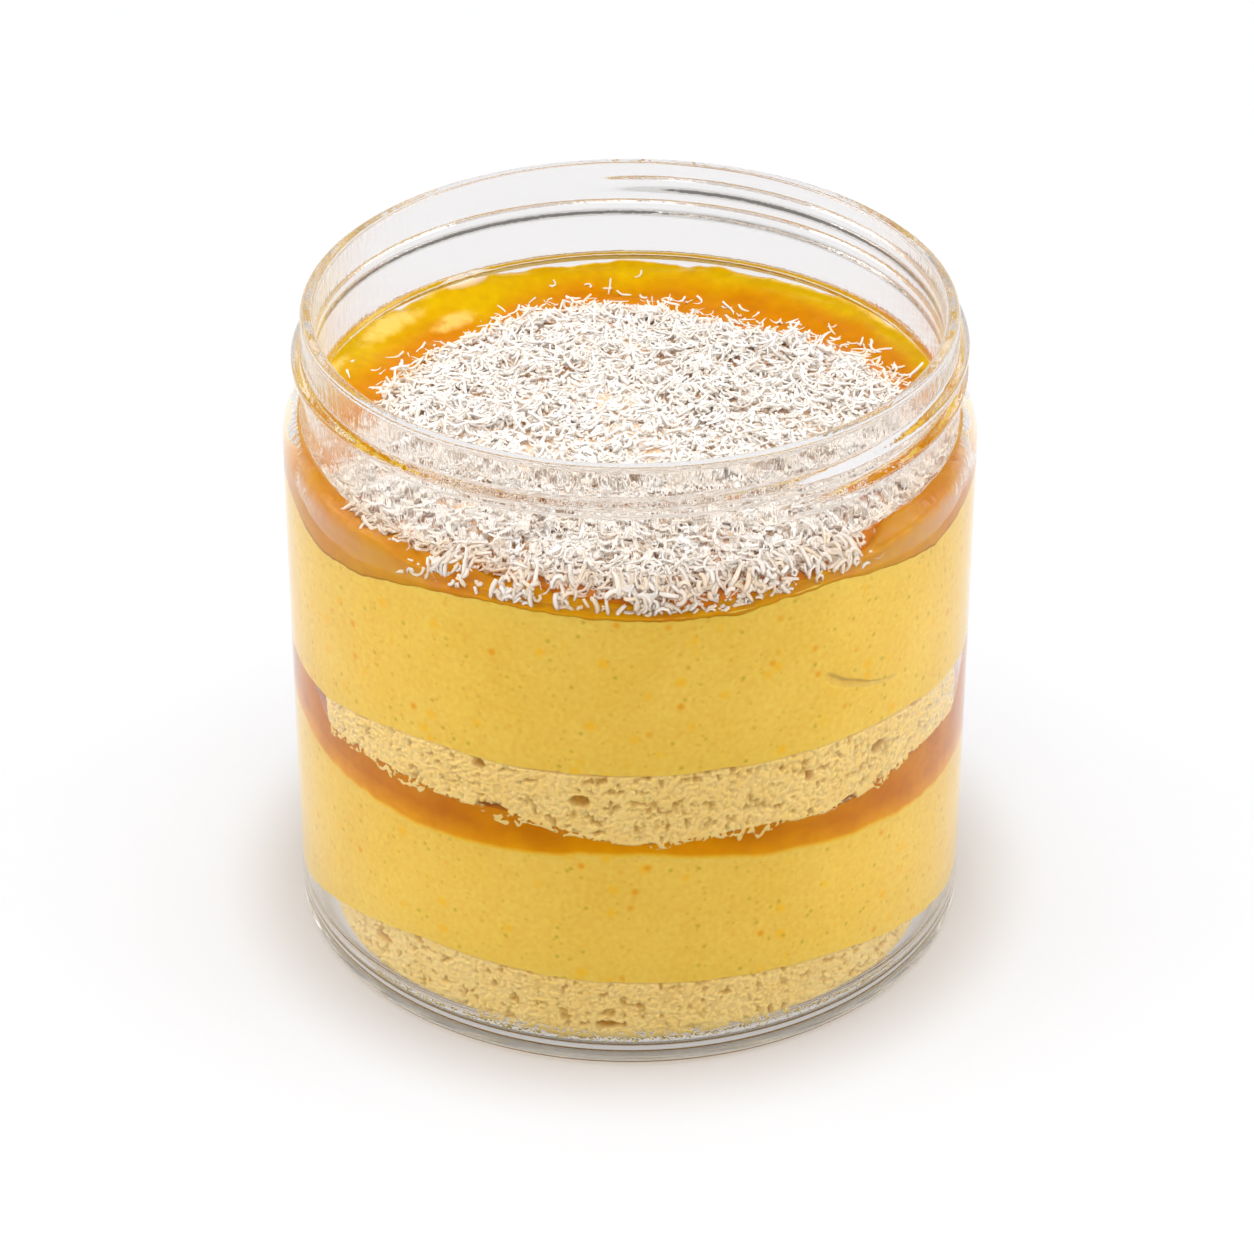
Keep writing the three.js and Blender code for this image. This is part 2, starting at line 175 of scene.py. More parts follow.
def unit(vectors):
    """The vectors scaled to length 1."""
    return vectors / (np.linalg.norm(vectors, axis=-1, keepdims=True) + 1e-9)


def turned(radius, height, degrees):
    """Points at a distance from the middle, in a direction, at a height."""
    angle = np.radians(degrees)
    return np.stack(np.broadcast_arrays(radius * np.cos(angle), radius * np.sin(angle), height), axis=-1)


print("A ring of four:", turned(1, 0, directions(4)).round(3).tolist())

# %% [markdown]
# ## Unevenness that repeats
# Food is uneven at every size. Two kinds of noise make that here. Lattice noise gives soft lumps:
# each whole-numbered place in space gets a fixed random number, and the numbers between are
# blended. Cell noise gives crumbs and holes: one point is scattered into each cell of space, and
# the distance to the nearest point is small inside a crumb and large between crumbs. Both read
# places in space, so a pattern that runs round the jar meets itself without a seam.

# %% Noise helpers
def lattice(column, row, layer, seed):
    """A repeatable number from 0 to 1 for whole-numbered places, made by mixing their bits."""
    mixed = (column * 73856093) ^ (row * 19349663) ^ (layer * 83492791) ^ (seed * 2654435761)
    for _ in range(2):
        mixed = mixed & 0xFFFFFFFF
        mixed = (mixed ^ (mixed >> 16)) * 0x45D9F3B
    mixed = mixed & 0xFFFFFFFF
    return ((mixed ^ (mixed >> 16)) & 0xFFFFFF) / 0xFFFFFF


def soft_noise(points, size, seed):
    """Lumps of a size in mm, from -1 to 1: corner numbers blended by 3t^2 - 2t^3 on each axis."""
    flat = points.reshape(-1, 3) / size
    corner = np.floor(flat).astype(np.int64)
    part = flat - corner
    part = part * part * (3 - 2 * part)
    total = np.zeros(len(flat))
    for step in itertools.product((0, 1), repeat=3):
        weight = np.prod(np.where(step, part, 1 - part), axis=1)
        total += weight * lattice(*(corner + step).T, seed)
    return (2 * total - 1).reshape(points.shape[:-1])


def rough_noise(points, size, seed, octaves=3):
    """Soft noise plus finer and finer noise, each half the size and half the strength."""
    return sum(soft_noise(points, size / 2**k, seed + 7 * k) / 2**k for k in range(octaves))


def cell_noise(points, size, seed):
    """The distance to the nearest scattered point, in cells."""
    flat = points.reshape(-1, 3) / size
    home = np.floor(flat).astype(np.int64)
    nearest = np.full(len(flat), 9.0)
    for step in itertools.product((-1, 0, 1), repeat=3):
        cell = (home + step).T
        centre = np.stack([cell[k] + lattice(*cell, seed + k) for k in range(3)], axis=1)
        nearest = np.minimum(nearest, np.linalg.norm(flat - centre, axis=1))
    return nearest.reshape(points.shape[:-1])


def smoothstep(value, low, high):
    """0 below low, 1 above high, and 3t^2 - 2t^3 between them."""
    part = np.clip((value - low) / (high - low), 0, 1)
    return part * part * (3 - 2 * part)


print("Soft noise at the origin:", soft_noise(np.zeros((1, 3)), 1.0, 1))

# %% [markdown]
# ## The jar
# The jar is a single turned profile with a screw thread on its neck. It could be a curve with a
# Screw modifier, but then the thread would have to be joined on. Here every row of the profile is
# turned round the axis, and the rows of the neck are pushed out where the thread runs over them.
# The ridge climbs 3.4 mm a turn, so one formula gives its distance from any place on the neck.

# %% Jar sizes
JAR_HEIGHT = 83.8
BODY_R = 43.0
BODY_INNER_R = 42.0
NECK_R = 40.24
MOUTH_R = 38.5
RIM_EDGE = 0.5
SHOULDER_Z = 66.8
INNER_SHOULDER_Z = 66.3
SHOULDER = (BODY_R - 2.3, SHOULDER_Z, 2.3, 3.2)
INNER_SHOULDER = (BODY_INNER_R - 2.1, INNER_SHOULDER_Z, 2.1, 2.9)
NECK_Z = 71.8
INNER_NECK_Z = 72.0
HEEL = 1.2
STAND_RING_INNER_R = 37.5
BASE_RECESS = 0.8
FLOOR_Z = 2.0
INNER_HEEL = 4.0
THREAD_PITCH = 3.4
THREAD_CREST_R = 41.5
THREAD_ROOT_WIDTH = 2.4
THREAD_CREST_WIDTH = 1.1
THREAD_TOP_Z = 80.4
THREAD_TOP_AT = 102.0
THREAD_SWEEP = 530.0
THREAD_FADE = 24.0
JAR_AROUND = 320


def arc(centre_r, centre_z, wide, high, start, end, steps):
    """Profile points on an ellipse about a centre, from one angle to another in degrees."""
    angle = np.radians(np.linspace(start, end, steps + 1))
    return np.stack([centre_r + wide * np.cos(angle), centre_z + high * np.sin(angle)], axis=1)


def bend(first, middle, last, steps):
    """A curve from first to last that leans towards middle: (1-t)^2, 2t(1-t) and t^2 of them."""
    t = np.linspace(0, 1, steps + 1)[:, None]
    return (1 - t) ** 2 * np.array(first) + 2 * t * (1 - t) * np.array(middle) + t**2 * np.array(last)


def line(first, last, steps):
    """Evenly spaced profile points on a straight line."""
    return np.linspace(first, last, steps + 1)


outer_shoulder = arc(*SHOULDER, 0, 78, 14)
inner_shoulder = arc(*INNER_SHOULDER, 78, 0, 14)
inside_profile = np.concatenate([
    line((MOUTH_R, JAR_HEIGHT - RIM_EDGE), (MOUTH_R, INNER_NECK_Z), 5)[1:],
    bend((MOUTH_R, INNER_NECK_Z), (MOUTH_R, 69.4), inner_shoulder[0], 8)[1:-1],
    inner_shoulder,
    line((BODY_INNER_R, INNER_SHOULDER_Z), (BODY_INNER_R, FLOOR_Z + INNER_HEEL), 4)[1:-1],
    arc(BODY_INNER_R - INNER_HEEL, FLOOR_Z + INNER_HEEL, INNER_HEEL, INNER_HEEL, 0, -90, 12),
    line((BODY_INNER_R - INNER_HEEL, FLOOR_Z), (8.0, FLOOR_Z), 3)[1:],
])
jar_profile = np.concatenate([
    line((12.0, BASE_RECESS), (35.6, BASE_RECESS), 2),
    bend((36.2, BASE_RECESS), (37.0, BASE_RECESS), (37.2, BASE_RECESS / 2), 4),
    bend((37.25, BASE_RECESS / 3), (STAND_RING_INNER_R, 0.0), (38.2, 0.0), 3),
    line((39.5, 0.0), (41.0, 0.0), 1),
    arc(BODY_R - HEEL, HEEL, HEEL, HEEL, -90, 0, 8),
    line((BODY_R, HEEL), (BODY_R, SHOULDER_Z), 4)[1:-1],
    outer_shoulder,
    bend(outer_shoulder[-1], (NECK_R + 0.05, 70.15), (NECK_R, NECK_Z), 6)[1:],
    line((NECK_R, NECK_Z), (NECK_R, JAR_HEIGHT - RIM_EDGE), 62)[1:-1],
    arc(NECK_R - RIM_EDGE, JAR_HEIGHT - RIM_EDGE, RIM_EDGE, RIM_EDGE, 0, 90, 6),
    arc(MOUTH_R + RIM_EDGE, JAR_HEIGHT - RIM_EDGE, RIM_EDGE, RIM_EDGE, 90, 180, 6),
    inside_profile,
])
print("The jar's profile has", len(jar_profile), "points")


# %% Jar mesh
def thread_height(degrees, z):
    """How far the thread stands out of the neck. Its middle falls by one pitch a turn. Its sides
    slope from root width to crest width, and it fades at both ends."""
    rise = np.zeros(np.broadcast_shapes(degrees.shape, z.shape))
    for turn in range(2):
        travelled = (THREAD_TOP_AT - degrees) % 360 + 360 * turn
        to_end = np.minimum(travelled, THREAD_SWEEP - travelled)
        fade = smoothstep(to_end, 0, THREAD_FADE)
        away = np.abs(z - (THREAD_TOP_Z - THREAD_PITCH * travelled / 360))
        flank = 1 - smoothstep(away, THREAD_CREST_WIDTH / 2 - 0.2, THREAD_ROOT_WIDTH / 2 + 0.1)
        rise = np.maximum(rise, fade * flank * (THREAD_CREST_R - NECK_R))
    return rise


around = directions(JAR_AROUND)[None, :]
profile_r = np.repeat(jar_profile[:, :1], JAR_AROUND, axis=1)
profile_z = np.repeat(jar_profile[:, 1:], JAR_AROUND, axis=1)
on_neck = (profile_r > NECK_R - 0.01) & (profile_z > 71.5) & (profile_z < JAR_HEIGHT - RIM_EDGE)
profile_r += np.where(on_neck, thread_height(around, profile_z), 0)
jar = round_body("clear_jar", turned(profile_r, profile_z, around))


def inside_r(z):
    """The radius of the jar's inner wall at a height, read off its profile."""
    rising = inside_profile[::-1]
    return np.interp(z, rising[:, 1], rising[:, 0])


print("The jar's inner radius at three heights:", inside_r(np.array([3.0, 40.0, 68.0])))

# %% [markdown]
# ## Clear plastic
# The jar is moulded PET, a clear polyester that bends light about as glass does: its index of
# refraction is set to 1.5, a little under the real 1.57, so that the shoulder squeezes the view of
# the food no more than in the photo. Moulding leaves it glossy but never quite flat. A soft bump
# with lumps of 14 mm makes highlights waver, and a finer one of 0.9 mm, drawn out upwards, breaks
# up what shows through the shoulder and the neck. Light from the lamps would need a lucky path to
# bend through the wall and reach the food, so for shadow rays alone the wall turns transparent.

# %% Jar material
clear_pet, tree, place = new_material("clear_moulded_PET")
waver = add_node(tree, "TexNoise", inputs={"Vector": place, "Scale": per_mm(14), "Detail": 1.0})
bumped = add_node(tree, "Bump", inputs={
    "Height": waver.outputs["Fac"], "Strength": 0.12, "Distance": 0.4 * MM,
})
height = add_node(tree, "SeparateXYZ", inputs={0: place})
neck = add_node(tree, "MapRange", SMOOTH, {
    "Value": height.outputs["Z"], "From Min": 65.5 * MM, "From Max": 67.5 * MM,
})
drawn_up = add_node(tree, "VectorMath", {"operation": "MULTIPLY"}, {0: place, 1: (1, 1, 0.3)})
orange_peel = add_node(tree, "TexNoise", inputs={
    "Vector": drawn_up.outputs["Vector"], "Scale": per_mm(0.9),
})
uneven = add_node(tree, "Math", {"operation": "MULTIPLY"}, {
    0: orange_peel.outputs["Fac"], 1: neck.outputs[0],
})
bumped = add_node(tree, "Bump", inputs={
    "Height": uneven.outputs[0],
    "Strength": 0.5,
    "Distance": 0.1 * MM,
    "Normal": bumped.outputs["Normal"],
})
plastic = add_node(tree, "BsdfPrincipled", inputs={
    "Base Color": linear("#F1EFED"),
    "Roughness": 0.02,
    "IOR": 1.5,
    "Transmission Weight": 1.0,
    "Specular Tint": linear("#282828"),
    "Normal": bumped.outputs["Normal"],
})
lamp_light = add_node(tree, "BsdfTransparent", inputs={"Color": linear("#F7F5F4")})
ray = add_node(tree, "LightPath")
either = add_node(tree, "MixShader", inputs={
    0: ray.outputs["Is Shadow Ray"], 1: plastic.outputs[0], 2: lamp_light.outputs[0],
})
add_node(tree, "OutputMaterial", inputs={"Surface": either.outputs[0]})
dress(jar, clear_pet, "jar", "jar")

# %% [markdown]
# ## The layers' surfaces
# Each layer is level in the middle and waves up and down at the wall, where the spoon pressed it.
# The height at the wall is one level plus a few swells, each a bell curve about a direction.

# %% Layer surfaces
FLAT_R = 26.0
SPONGE_BASE_BOTTOM = {"middle": 2.2, "level": 2.5, "swells": [(-60, 0.5, 20), (150, 0.5, 30)]}
SPONGE_BASE_TOP = {
    "middle": 11.0,
    "level": 9.2,
    "swells": [
        (-128, 3.6, 30), (-80, 2.7, 34), (-42, 0.7, 24), (-14, -3.4, 26),
        (60, 1.4, 50), (150, 0.9, 24), (180, -4.2, 30),
    ],
}
BAND_BOTTOM = {
    "middle": 29.0,
    "level": 29.0,
    "swells": [
        (-172, 3, 24), (-132, 0.9, 26), (-90, 2.4, 20),
        (-12, -3.3, 40), (70, -1.2, 30), (130, 1, 24),
    ],
}
BAND_TOP = {
    "middle": 33.0,
    "level": 33.4,
    "swells": [
        (-138, 2.9, 24), (-110, 1.3, 11), (-88, -0.8, 10),
        (-52, -1, 10), (-30, 1, 16), (80, 1.2, 20),
    ],
}
UPPER_CREAM_BOTTOM = {
    "middle": 41.5,
    "level": 39.5,
    "swells": [(-128, 2.4, 20), (-92, 3.1, 34), (-48, 2.5, 30), (50, 1.6, 40), (125, 2.2, 30)],
}
GLAZE_BOTTOM = {
    "middle": 64.2,
    "level": 64.6,
    "swells": [
        (-148, -3.1, 17), (-113, 0.7, 11), (-58, 1, 9),
        (-29, -1.7, 14), (65, -1.3, 26), (140, -1, 18),
    ],
}
GLAZE_TOP = {
    "middle": 66.6,
    "level": 67.8,
    "swells": [(-90, -1.8, 46), (-165, 0.9, 22), (122, 1.7, 7), (-8, 0.5, 16)],
}
GLAZE_CLIMB_R = 34.0
SPONGE_RECESS = {"level": 0.0, "swells": [(180, 3.4, 26), (-2, 3.4, 22)]}
SPONGE_BASE_RECESS = {"level": 0.0, "swells": [(180, 3, 34), (-4, 3, 30)]}
print("The glaze lies at", GLAZE_BOTTOM["level"], "to", GLAZE_TOP["level"], "mm at the wall")


# %% Layer heights
def swelled(shape, degrees):
    """The level plus, for each swell, rise times exp(-(angle away / half width)^2)."""
    height = np.full(np.shape(degrees), shape["level"], dtype=float)
    for at, rise, half_width in shape["swells"]:
        height += rise * np.exp(-((turn_from(degrees, at) / half_width) ** 2))
    return height


def layer_height(shape, radius, degrees):
    """A layer's surface: its middle height as far as FLAT_R, then a straight slope to the wall."""
    slope = np.clip((radius - FLAT_R) / (BODY_INNER_R - FLAT_R), 0, 1)
    return shape["middle"] + slope * (swelled(shape, degrees) - shape["middle"])


def spread(shape, radius, degrees):
    """A layer's surface as rings of points."""
    return turned(radius, layer_height(shape, radius, degrees), degrees)


def edge_waver(degrees, size, amount, seed):
    """A ragged line round the wall: rough noise read along a circle, in mm up and down."""
    return amount * rough_noise(turned(BODY_INNER_R, 3.0 * seed, degrees), size, seed)


def ragged(shape, degrees, coarse, fine, seed):
    """A layer's edge at the wall with a coarse and a fine waver, each a size and an amount."""
    wavered = swelled(shape, degrees) + edge_waver(degrees, *coarse, seed)
    return wavered + edge_waver(degrees, *fine, seed + 1)


def rows_between(low, high, rows):
    """Rows of heights, evenly spaced from low to high."""
    return low + (high - low) * np.linspace(0, 1, rows)[:, None]


print("The upper cream starts at", swelled(UPPER_CREAM_BOTTOM, np.array([-90.0, 0.0])).round(2))

# %% [markdown]
# ## Mango cream
# The two cream layers are whipped cream folded with mango puree and smoothed against the wall.
# Each is a closed round body whose side reaches just into the plastic, so no film of air shows
# between them. One crescent, where a spoon left a fold, breaks the surface. The edge between the
# side and the two flat faces is marked sharp, so that it doesn't shade as if it were rounded.

# %% Cream bodies
CREAM_REACH = 0.03
CREAM_AROUND = 600
CREAM_OVER = 0.3
INNER_RINGS = np.array([10.0, 26.0, 34.0, 39.0])
SHARP_ANGLE = np.radians(50)
CRESCENT = [
    (-56.5, 53.1), (-55.7, 52.6), (-52.7, 51.0), (-50.2, 50.2),
    (-47.5, 49.2), (-43.9, 48.3), (-39.1, 47.9),
]


def crescent_dent(degrees, z):
    """How deep the crescent fold is: a step along a curve of seven places. It is deepest just
    under the curve and fades out below it, over 1.6 mm at its left end and 0.5 at its right."""
    places = np.array(CRESCENT)
    under = np.interp(degrees, places[:, 0], places[:, 1]) - z
    run = np.interp(degrees, [-56, -44], [1.6, 0.5])
    ends = smoothstep(degrees, -56.8, -55.4) * (1 - smoothstep(degrees, -49, -39))
    return 0.55 * ends * smoothstep(under, -0.15, 0.1) * (1 - smoothstep(under / run, 0.1, 1))


def cream_body(name, below, above, rows, seed):
    """A closed layer of cream between two surfaces, as rings for round_body, with its side in
    the wall. Its bottom edge is ragged where it sags on the crumbs."""
    at = directions(CREAM_AROUND)[None, :]
    radius = INNER_RINGS[:, None]
    low = ragged(below, at, (5.0, 0.22), (1.4, 0.1), seed)
    side_z = rows_between(low, swelled(above, at) + CREAM_OVER, rows)
    side_r = inside_r(side_z) + CREAM_REACH
    if above is GLAZE_BOTTOM:
        side_r = side_r - crescent_dent(turn_from(at, 0), side_z)
    side = turned(side_r, side_z, at)
    rings = [spread(below, radius, at), side, spread(above, radius[::-1], at)]
    body = round_body(name, np.concatenate(rings))
    body.data.set_sharp_from_angle(angle=SHARP_ANGLE)
    return body


cream_lower = cream_body("cream_layer_lower", SPONGE_BASE_TOP, BAND_BOTTOM, 70, 21)
cream_upper = cream_body("cream_layer_upper", UPPER_CREAM_BOTTOM, GLAZE_BOTTOM, 120, 31)

# %% [markdown]
# Whipped mango cream is matt and pale yellow. Fine air bubbles give it a grain of about half a
# millimetre, and the fruit leaves orange and lime-yellow flecks up to a millimetre across. The
# flecks are cells of a Voronoi pattern: near a cell's point there is a fleck, and a random number
# per cell leaves most of them out.

# %% Cream material
mango_cream, tree, place = new_material("whipped_mango_cream")
cloud = add_node(tree, "TexNoise", inputs={"Vector": place, "Scale": per_mm(9), "Detail": 3.0})
grain = add_node(tree, "TexNoise", inputs={"Vector": place, "Scale": per_mm(0.7), "Detail": 2.0})
base = add_node(tree, "Mix", COLOUR_MIX, {
    FACTOR: cloud.outputs["Fac"], COLOUR_A: linear("#E1BD4A"), COLOUR_B: linear("#E9CB62"),
})
grained = add_node(tree, "Mix", OVERLAY_MIX, {
    FACTOR: 0.24, COLOUR_A: base.outputs[MIXED], COLOUR_B: grain.outputs["Fac"],
})
shade = grained.outputs[MIXED]
FLECKS = [
    (3.4, 0.18, "#EDB81C", 0.5, 0.65),
    (1.7, 0.15, "#AE9C30", 0.5, 0.6),
    (3.2, 0.13, "#E09A18", 0.66, 0.8),
    (1.0, 0.19, "#C49C34", 0.6, 0.45),
]
for size, reach, colour, rarity, strength in FLECKS:
    cells = add_node(tree, "TexVoronoi", inputs={"Vector": place, "Scale": per_mm(size)})
    near = add_node(tree, "MapRange", inputs={
        "Value": cells.outputs["Distance"],
        "From Min": reach * 1.6,
        "From Max": reach * 0.5,
        "To Max": strength,
    })
    kept = add_node(tree, "Math", {"operation": "GREATER_THAN"}, {0: cells.outputs["Color"], 1: rarity})
    fleck = add_node(tree, "Math", {"operation": "MULTIPLY"}, {0: near.outputs[0], 1: kept.outputs[0]})
    mixed = add_node(tree, "Mix", COLOUR_MIX, {
        FACTOR: fleck.outputs[0], COLOUR_A: shade, COLOUR_B: linear(colour),
    })
    shade = mixed.outputs[MIXED]
bumped = add_node(tree, "Bump", inputs={
    "Height": grain.outputs["Fac"], "Strength": 0.25, "Distance": 0.1 * MM,
})
skin = add_node(tree, "BsdfPrincipled", inputs={
    "Base Color": shade,
    "Roughness": 0.55,
    "IOR": 1.45,
    "Specular IOR Level": 0.0,
    "Subsurface Weight": 0.15,
    "Subsurface Radius": (1.0, 0.7, 0.3),
    "Subsurface Scale": 1.2 * MM,
    "Normal": bumped.outputs["Normal"],
})
add_node(tree, "OutputMaterial", inputs={"Surface": skin.outputs[0]})
dress(cream_lower, mango_cream, "cream", "cream_lower")
dress(cream_upper, mango_cream, "cream", "cream_upper")

# %% [markdown]
# ## Sponge
# The sponge is a whisked cake with a fine, open crumb. The jar's wall presses the crumb flat, and
# pores, crevices and a few larger cavities fall back from it. A texture could only shade that, so
# the side is a fine grid that is really pushed in, by noise of several sizes. The lower edge is
# cut into branching fingers of crumb that hang over the layer below. How deep each point lies is
# stored on the mesh, and the material paints the depths darker: painted shade, added to the shade
# that the dents cast.

# %% Sponge bodies
SPONGE_REACH = 0.1
SPONGE_AROUND = 1440
SPONGE_ROWS = 60
SPONGE_INNER_R = 36.5
FINGER_Z = 1.3
LIPS = [(180, 27), (2, 18)]


def lip_share(degrees):
    """How far the puree climbs in front of the upper sponge: fully within some degrees of the
    left and the right, not at all elsewhere, and blended over 8 degrees."""
    share = np.zeros(np.shape(degrees))
    for at, half in LIPS:
        away = np.abs(turn_from(degrees, at))
        share = np.maximum(share, 1 - smoothstep(away, half - 4, half + 4))
    return share


def crumb_depth(wall, seed):
    """How far the crumb falls back from the wall: 0.2 mm between rounded grains of 0.55 mm, 0.6 mm
    more in pores where rough noise of 0.75 mm is high, 1 mm more in a few cavities 3 mm wide, and
    0.08 mm of fine unevenness."""
    sway = np.stack([rough_noise(wall, 0.7, seed + k, 2) for k in (2, 3, 4)], axis=-1)
    swayed = wall + 0.15 * sway
    between = smoothstep(cell_noise(swayed, 0.55, seed + 5), 0.3, 0.85)
    pore = smoothstep(rough_noise(swayed, 0.75, seed + 6), 0.3, 0.9)
    cavity = smoothstep(soft_noise(swayed, 3.0, seed + 8), 0.64, 0.76)
    fine = soft_noise(wall, 0.3, seed + 9)
    return 0.2 * between + 0.6 * pore + 1.0 * cavity + 0.08 * fine


def sponge_body(name, below, above, recess, lift, seed):
    """A closed layer of sponge between two surfaces. Its side is the wall, less the recess, less
    the crumb's depth. Its lower edge is lifted, and fingers up to 1.6 mm long hang from it."""
    at = directions(SPONGE_AROUND)[None, :]
    radius = np.minimum(INNER_RINGS, SPONGE_INNER_R)[:, None]
    edge_r = BODY_INNER_R - recess
    clusters = smoothstep(edge_waver(at, 4.0, 1.0, seed), -0.5, 0.7)
    fingers = smoothstep(edge_waver(at, 1.4, 1.0, seed + 1), -0.4, 0.6)
    low = layer_height(below, edge_r, at) + lift - clusters * (0.5 + 1.1 * fingers)
    high = layer_height(above, edge_r, at) + 0.05
    side_z = rows_between(low, high, SPONGE_ROWS)
    wall_r = inside_r(side_z) + SPONGE_REACH - recess
    wall = turned(wall_r, side_z, at)
    pressed = 0.12 * (1 - smoothstep(side_z - low, 0.4, 1.6))
    round_top = 0.4 * np.clip(1 - (high - side_z) / 0.5, 0, 1) ** 2
    round_low = 0.5 * np.clip(1 - (side_z - low) / 0.25, 0, 1) ** 2
    depth = np.clip(crumb_depth(wall, seed) - pressed, 0, 1.9) + round_top + round_low
    side = turned(wall_r - depth, side_z, at)
    rings = [spread(below, radius, at), side, spread(above, radius[::-1], at)]
    body = round_body(name, np.concatenate(rings))
    unseen = np.ones((len(INNER_RINGS), SPONGE_AROUND))
    mark(body, "depth", np.concatenate([unseen, depth, unseen]))
    return body


at = directions(SPONGE_AROUND)[None, :]
base_recess = swelled(SPONGE_BASE_RECESS, at)
upper_recess = swelled(SPONGE_RECESS, at) * lip_share(at)
sponge_lower = sponge_body(
    "sponge_layer_base", SPONGE_BASE_BOTTOM, SPONGE_BASE_TOP, base_recess, FINGER_Z, 41
)
sponge_upper = sponge_body(
    "sponge_layer_upper", BAND_TOP, UPPER_CREAM_BOTTOM, upper_recess, 0.0, 61
)

# %% [markdown]
# Baked sponge is matt, like cut bread: roughness near 1 and hardly any gloss. Its crumb is pale
# straw, and the holes are painted a darker gold as painted shade.

# %% Sponge material
baked_sponge, tree, place = new_material("baked_sponge_crumb")
depth = add_node(tree, "Attribute", {"attribute_name": "depth"})
blotch = add_node(tree, "TexNoise", inputs={"Vector": place, "Scale": per_mm(3.5), "Detail": 3.0})
pores = add_node(tree, "TexNoise", inputs={"Vector": place, "Scale": per_mm(0.35), "Detail": 2.0})
crumb_tone = add_node(tree, "Mix", COLOUR_MIX, {
    FACTOR: blotch.outputs["Fac"], COLOUR_A: linear("#E6C570"), COLOUR_B: linear("#F2DB98"),
})
# Painted shade: the deeper a point lies, the more its colour is mixed towards a dark gold.
deep = add_node(tree, "MapRange", inputs={
    "Value": depth.outputs["Fac"], "From Min": 0.1, "From Max": 1.0, "To Max": 1.0,
})
painted_hole_shade = add_node(tree, "Mix", COLOUR_MIX, {
    FACTOR: deep.outputs[0], COLOUR_A: crumb_tone.outputs[MIXED], COLOUR_B: linear("#C79A3C"),
})
bumped = add_node(tree, "Bump", inputs={
    "Height": pores.outputs["Fac"], "Strength": 0.5, "Distance": 0.1 * MM,
})
crumb_skin = add_node(tree, "BsdfPrincipled", inputs={
    "Base Color": painted_hole_shade.outputs[MIXED],
    "Roughness": 0.95,
    "IOR": 1.45,
    "Specular IOR Level": 0.1,
    "Subsurface Weight": 0.5,
    "Subsurface Radius": (1.0, 0.75, 0.4),
    "Subsurface Scale": 0.9 * MM,
    "Normal": bumped.outputs["Normal"],
})
add_node(tree, "OutputMaterial", inputs={"Surface": crumb_skin.outputs[0]})
dress(sponge_lower, baked_sponge, "sponge", "sponge_base")
dress(sponge_upper, baked_sponge, "sponge", "sponge_upper")

# %% [markdown]
# ## The mango band
# A layer of sieved mango puree lies under the upper sponge. Where the sponge stops short of the
# wall, at the left and the right, the puree has crept up between the two. Its lower edge bleeds a
# little way over the cream, and its colour deepens upwards, so each point stores how far up it is.

# %% Band body
BAND_REACH = 0.06
BAND_AROUND = 720
BAND_ROWS = 26
BAND_INNER_R = 37.5
LIP_WIDTH = 1.4
FULL_RISE = 4.0


def band_body(name, seed):
    """The puree layer: a bottom, a side in the wall, a lip that climbs to the upper cream where
    the sponge is set back, and a top."""
    at = directions(BAND_AROUND)[None, :]
    radius = INNER_RINGS[:, None]
    recess = swelled(SPONGE_RECESS, at)
    low = ragged(BAND_BOTTOM, at, (6.0, 0.3), (1.6, 0.13), seed)
    flat_top = swelled(BAND_TOP, at) + 0.5 + edge_waver(at, 1.6, 0.12, seed + 2)
    top = flat_top + lip_share(at) * (swelled(UPPER_CREAM_BOTTOM, at) + 0.1 - flat_top)
    side_z = rows_between(low, top, BAND_ROWS)
    side = turned(inside_r(side_z) + BAND_REACH, side_z, at)
    lip_r = BODY_INNER_R - np.maximum(recess, LIP_WIDTH)
    lip_inner = turned(lip_r + 0.4, top, at)
    lip_foot = turned(lip_r, flat_top - 0.5, at)
    under = spread(BAND_BOTTOM, radius, at)
    over = spread(BAND_TOP, np.minimum(radius[::-1], BAND_INNER_R), at)
    body = round_body(name, np.concatenate([under, side, lip_inner, lip_foot, over]))
    deep = np.full((len(radius) + 2, BAND_AROUND), FULL_RISE)
    mark(body, "rise", np.concatenate([deep[2:], side_z - low, deep]))
    body.data.set_sharp_from_angle(angle=SHARP_ANGLE)
    return body


mango_band = band_body("mango_puree_band", 81)

# %% [markdown]
# Mango puree is wet, smooth and translucent: light goes a few millimetres in and comes out
# deeper and more orange. Subsurface scattering gives that glow, and a thin edge looks yellower
# than a thick one because the cream behind it shows through.

# %% Band material
mango_puree, tree, place = new_material("sieved_mango_puree")
rise = add_node(tree, "Attribute", {"attribute_name": "rise"})
swirl = add_node(tree, "TexNoise", inputs={"Vector": place, "Scale": per_mm(5), "Detail": 3.0})
pulp = add_node(tree, "TexNoise", inputs={"Vector": place, "Scale": per_mm(0.9), "Detail": 2.0})
thick = add_node(tree, "MapRange", SMOOTH, {
    "Value": rise.outputs["Fac"], "From Min": 0.05, "From Max": 0.7,
})
upward = add_node(tree, "MapRange", inputs={
    "Value": rise.outputs["Fac"], "From Min": 0.5, "From Max": 3.2, "To Min": -0.35, "To Max": 0.3,
})
deeper = add_node(tree, "Math", {"operation": "ADD", "use_clamp": True}, {
    0: upward.outputs[0], 1: swirl.outputs["Fac"],
})
body_tone = add_node(tree, "Mix", COLOUR_MIX, {
    FACTOR: deeper.outputs[0], COLOUR_A: linear("#E09C00"), COLOUR_B: linear("#BA6E00"),
})
edged = add_node(tree, "Mix", COLOUR_MIX, {
    FACTOR: thick.outputs[0], COLOUR_A: linear("#ECC03C"), COLOUR_B: body_tone.outputs[MIXED],
})
pulpy = add_node(tree, "Mix", OVERLAY_MIX, {
    FACTOR: 0.2, COLOUR_A: edged.outputs[MIXED], COLOUR_B: pulp.outputs["Fac"],
})
